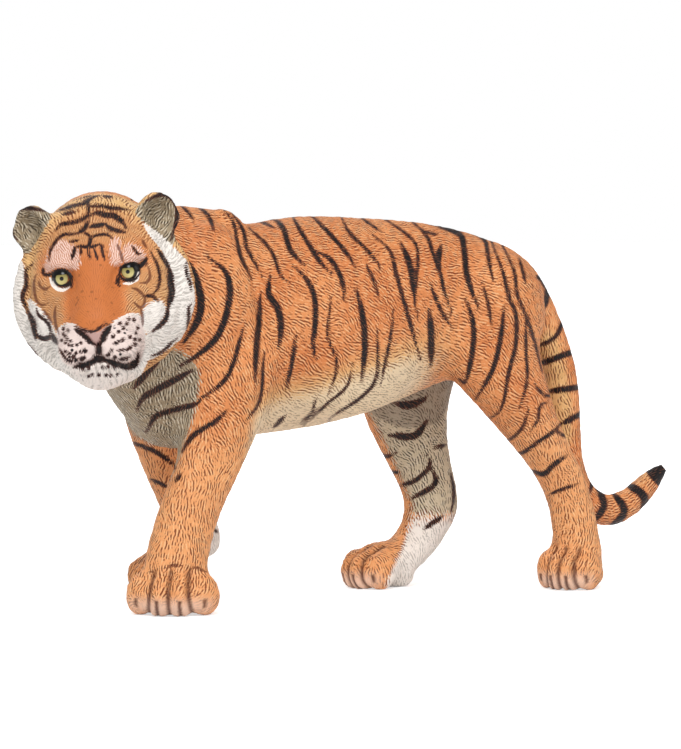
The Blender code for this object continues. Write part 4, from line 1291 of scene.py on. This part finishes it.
def make_eye(word, side, material):
    """One glossy eyeball, set in its socket and looking where the face looks."""
    bm = bmesh.new()
    bmesh.ops.create_uvsphere(bm, u_segments=48, v_segments=32, radius=EYE_RADIUS * MM)
    mesh = bpy.data.meshes.new(f"eye_{word}")
    bm.to_mesh(mesh)
    bm.free()
    mesh.shade_smooth()
    mesh.materials.append(material)
    eye = bpy.data.objects.new(f"eye_{word}", mesh)
    place = face_place() @ Matrix.Translation(Vector((side * EYE_SPACING / 2.0, EYE_DEPTH, 0.0)))
    place.translation *= MM
    eye.matrix_world = place
    bpy.context.scene.collection.objects.link(eye)
    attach(eye, "root")


def make_coat(node, view):
    """The painted coat, which stands for the solid."""
    mesh = skin_mesh(node)
    skin = Skin(mesh)
    soft = np.where(face_zone(in_place(face_place(), skin.points)), FACE_SOFTNESS, 1.0)
    skin.smooth(SKIN_SMOOTHING, soft)
    parts = Parts(skin, view)
    sculpt_face(skin, parts)
    sculpt_toes(skin)
    parts = Parts(skin, view)
    lie = fur_lie(skin, parts)
    across, plain = dress_fur(skin, parts, lie)
    skin.points[:, 2] = np.maximum(skin.points[:, 2], 0.0)
    paint_markings(skin, parts)
    paint_zones(skin, parts, plain)
    skin.paint_direction("fur_across", across)
    skin.write()
    mesh.shade_smooth()
    mesh.materials.clear()
    mesh.materials.append(coat_paint())
    coat = bpy.data.objects.new("tiger_coat", mesh)
    bpy.context.scene.collection.objects.link(coat)
    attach(coat, "root")
    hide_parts(NODE)


def floor_paint():
    """A white floor that keeps the shadow and looks white to the camera elsewhere."""
    n = Nodes("floor_paint")
    n.shader.inputs["Base Color"].default_value = FLOOR_COLOUR
    n.shader.inputs["Roughness"].default_value = 0.9
    n.shader.inputs["Specular IOR Level"].default_value = 0.0
    n.shader.inputs["Emission Color"].default_value = PURE_WHITE
    path = n.add("LightPath")
    seen = n.math("MAXIMUM", path.outputs["Is Camera Ray"], path.outputs["Is Glossy Ray"])
    seen = n.math("MAXIMUM", seen, path.outputs["Is Transmission Ray"])
    length = n.add("VectorMath", operation="LENGTH")
    n.join(n.object_point(), length.inputs[0])
    glow = n.ramp(length.outputs["Value"], 0.12, 0.45, 0.6, 1.0)
    n.join(n.times(seen, glow), n.shader.inputs["Emission Strength"])
    return n.material


def make_floor():
    bm = bmesh.new()
    bmesh.ops.create_grid(bm, x_segments=1, y_segments=1, size=FLOOR_SIZE)
    mesh = bpy.data.meshes.new("floor")
    bm.to_mesh(mesh)
    bm.free()
    mesh.materials.append(floor_paint())
    floor = bpy.data.objects.new("floor", mesh)
    floor.location.z = -FLOOR_DROP * MM
    bpy.context.scene.collection.objects.link(floor)


def make_lamp(name, place, size, power):
    data = bpy.data.lights.new(name, "AREA")
    data.shape = "DISK"
    data.size = size
    data.energy = power
    lamp = bpy.data.objects.new(name, data)
    lamp.location = place
    lamp.rotation_euler = Vector(place).to_track_quat("Z", "Y").to_euler()
    bpy.context.scene.collection.objects.link(lamp)


def make_light():
    """A soft key from the upper left, two weak lamps, and an even pale world."""
    for name, (place, size, power) in LAMPS.items():
        make_lamp(name, place, size, power)
    world = bpy.data.worlds.new("studio")
    world.use_nodes = True
    bpy.context.scene.world = world
    tree = world.node_tree
    path = tree.nodes.new("ShaderNodeLightPath")
    choose = tree.nodes.new("ShaderNodeMapRange")
    choose.inputs["To Min"].default_value = WORLD_LIGHT
    choose.inputs["To Max"].default_value = 1.0
    tree.links.new(path.outputs["Is Camera Ray"], choose.inputs["Value"])
    background = tree.nodes["Background"]
    background.inputs["Color"].default_value = PURE_WHITE
    tree.links.new(choose.outputs["Result"], background.inputs["Strength"])


def main():
    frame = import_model()
    view = ReferenceView()
    view.make_camera()
    make_coat(frame["nodes"][NODE], view)
    eye = eye_paint()
    for side, word in ((-1, "right"), (1, "left")):
        make_eye(word, side, eye)
    make_floor()
    make_light()
    bpy.context.scene.view_settings.view_transform = "Standard"


main()
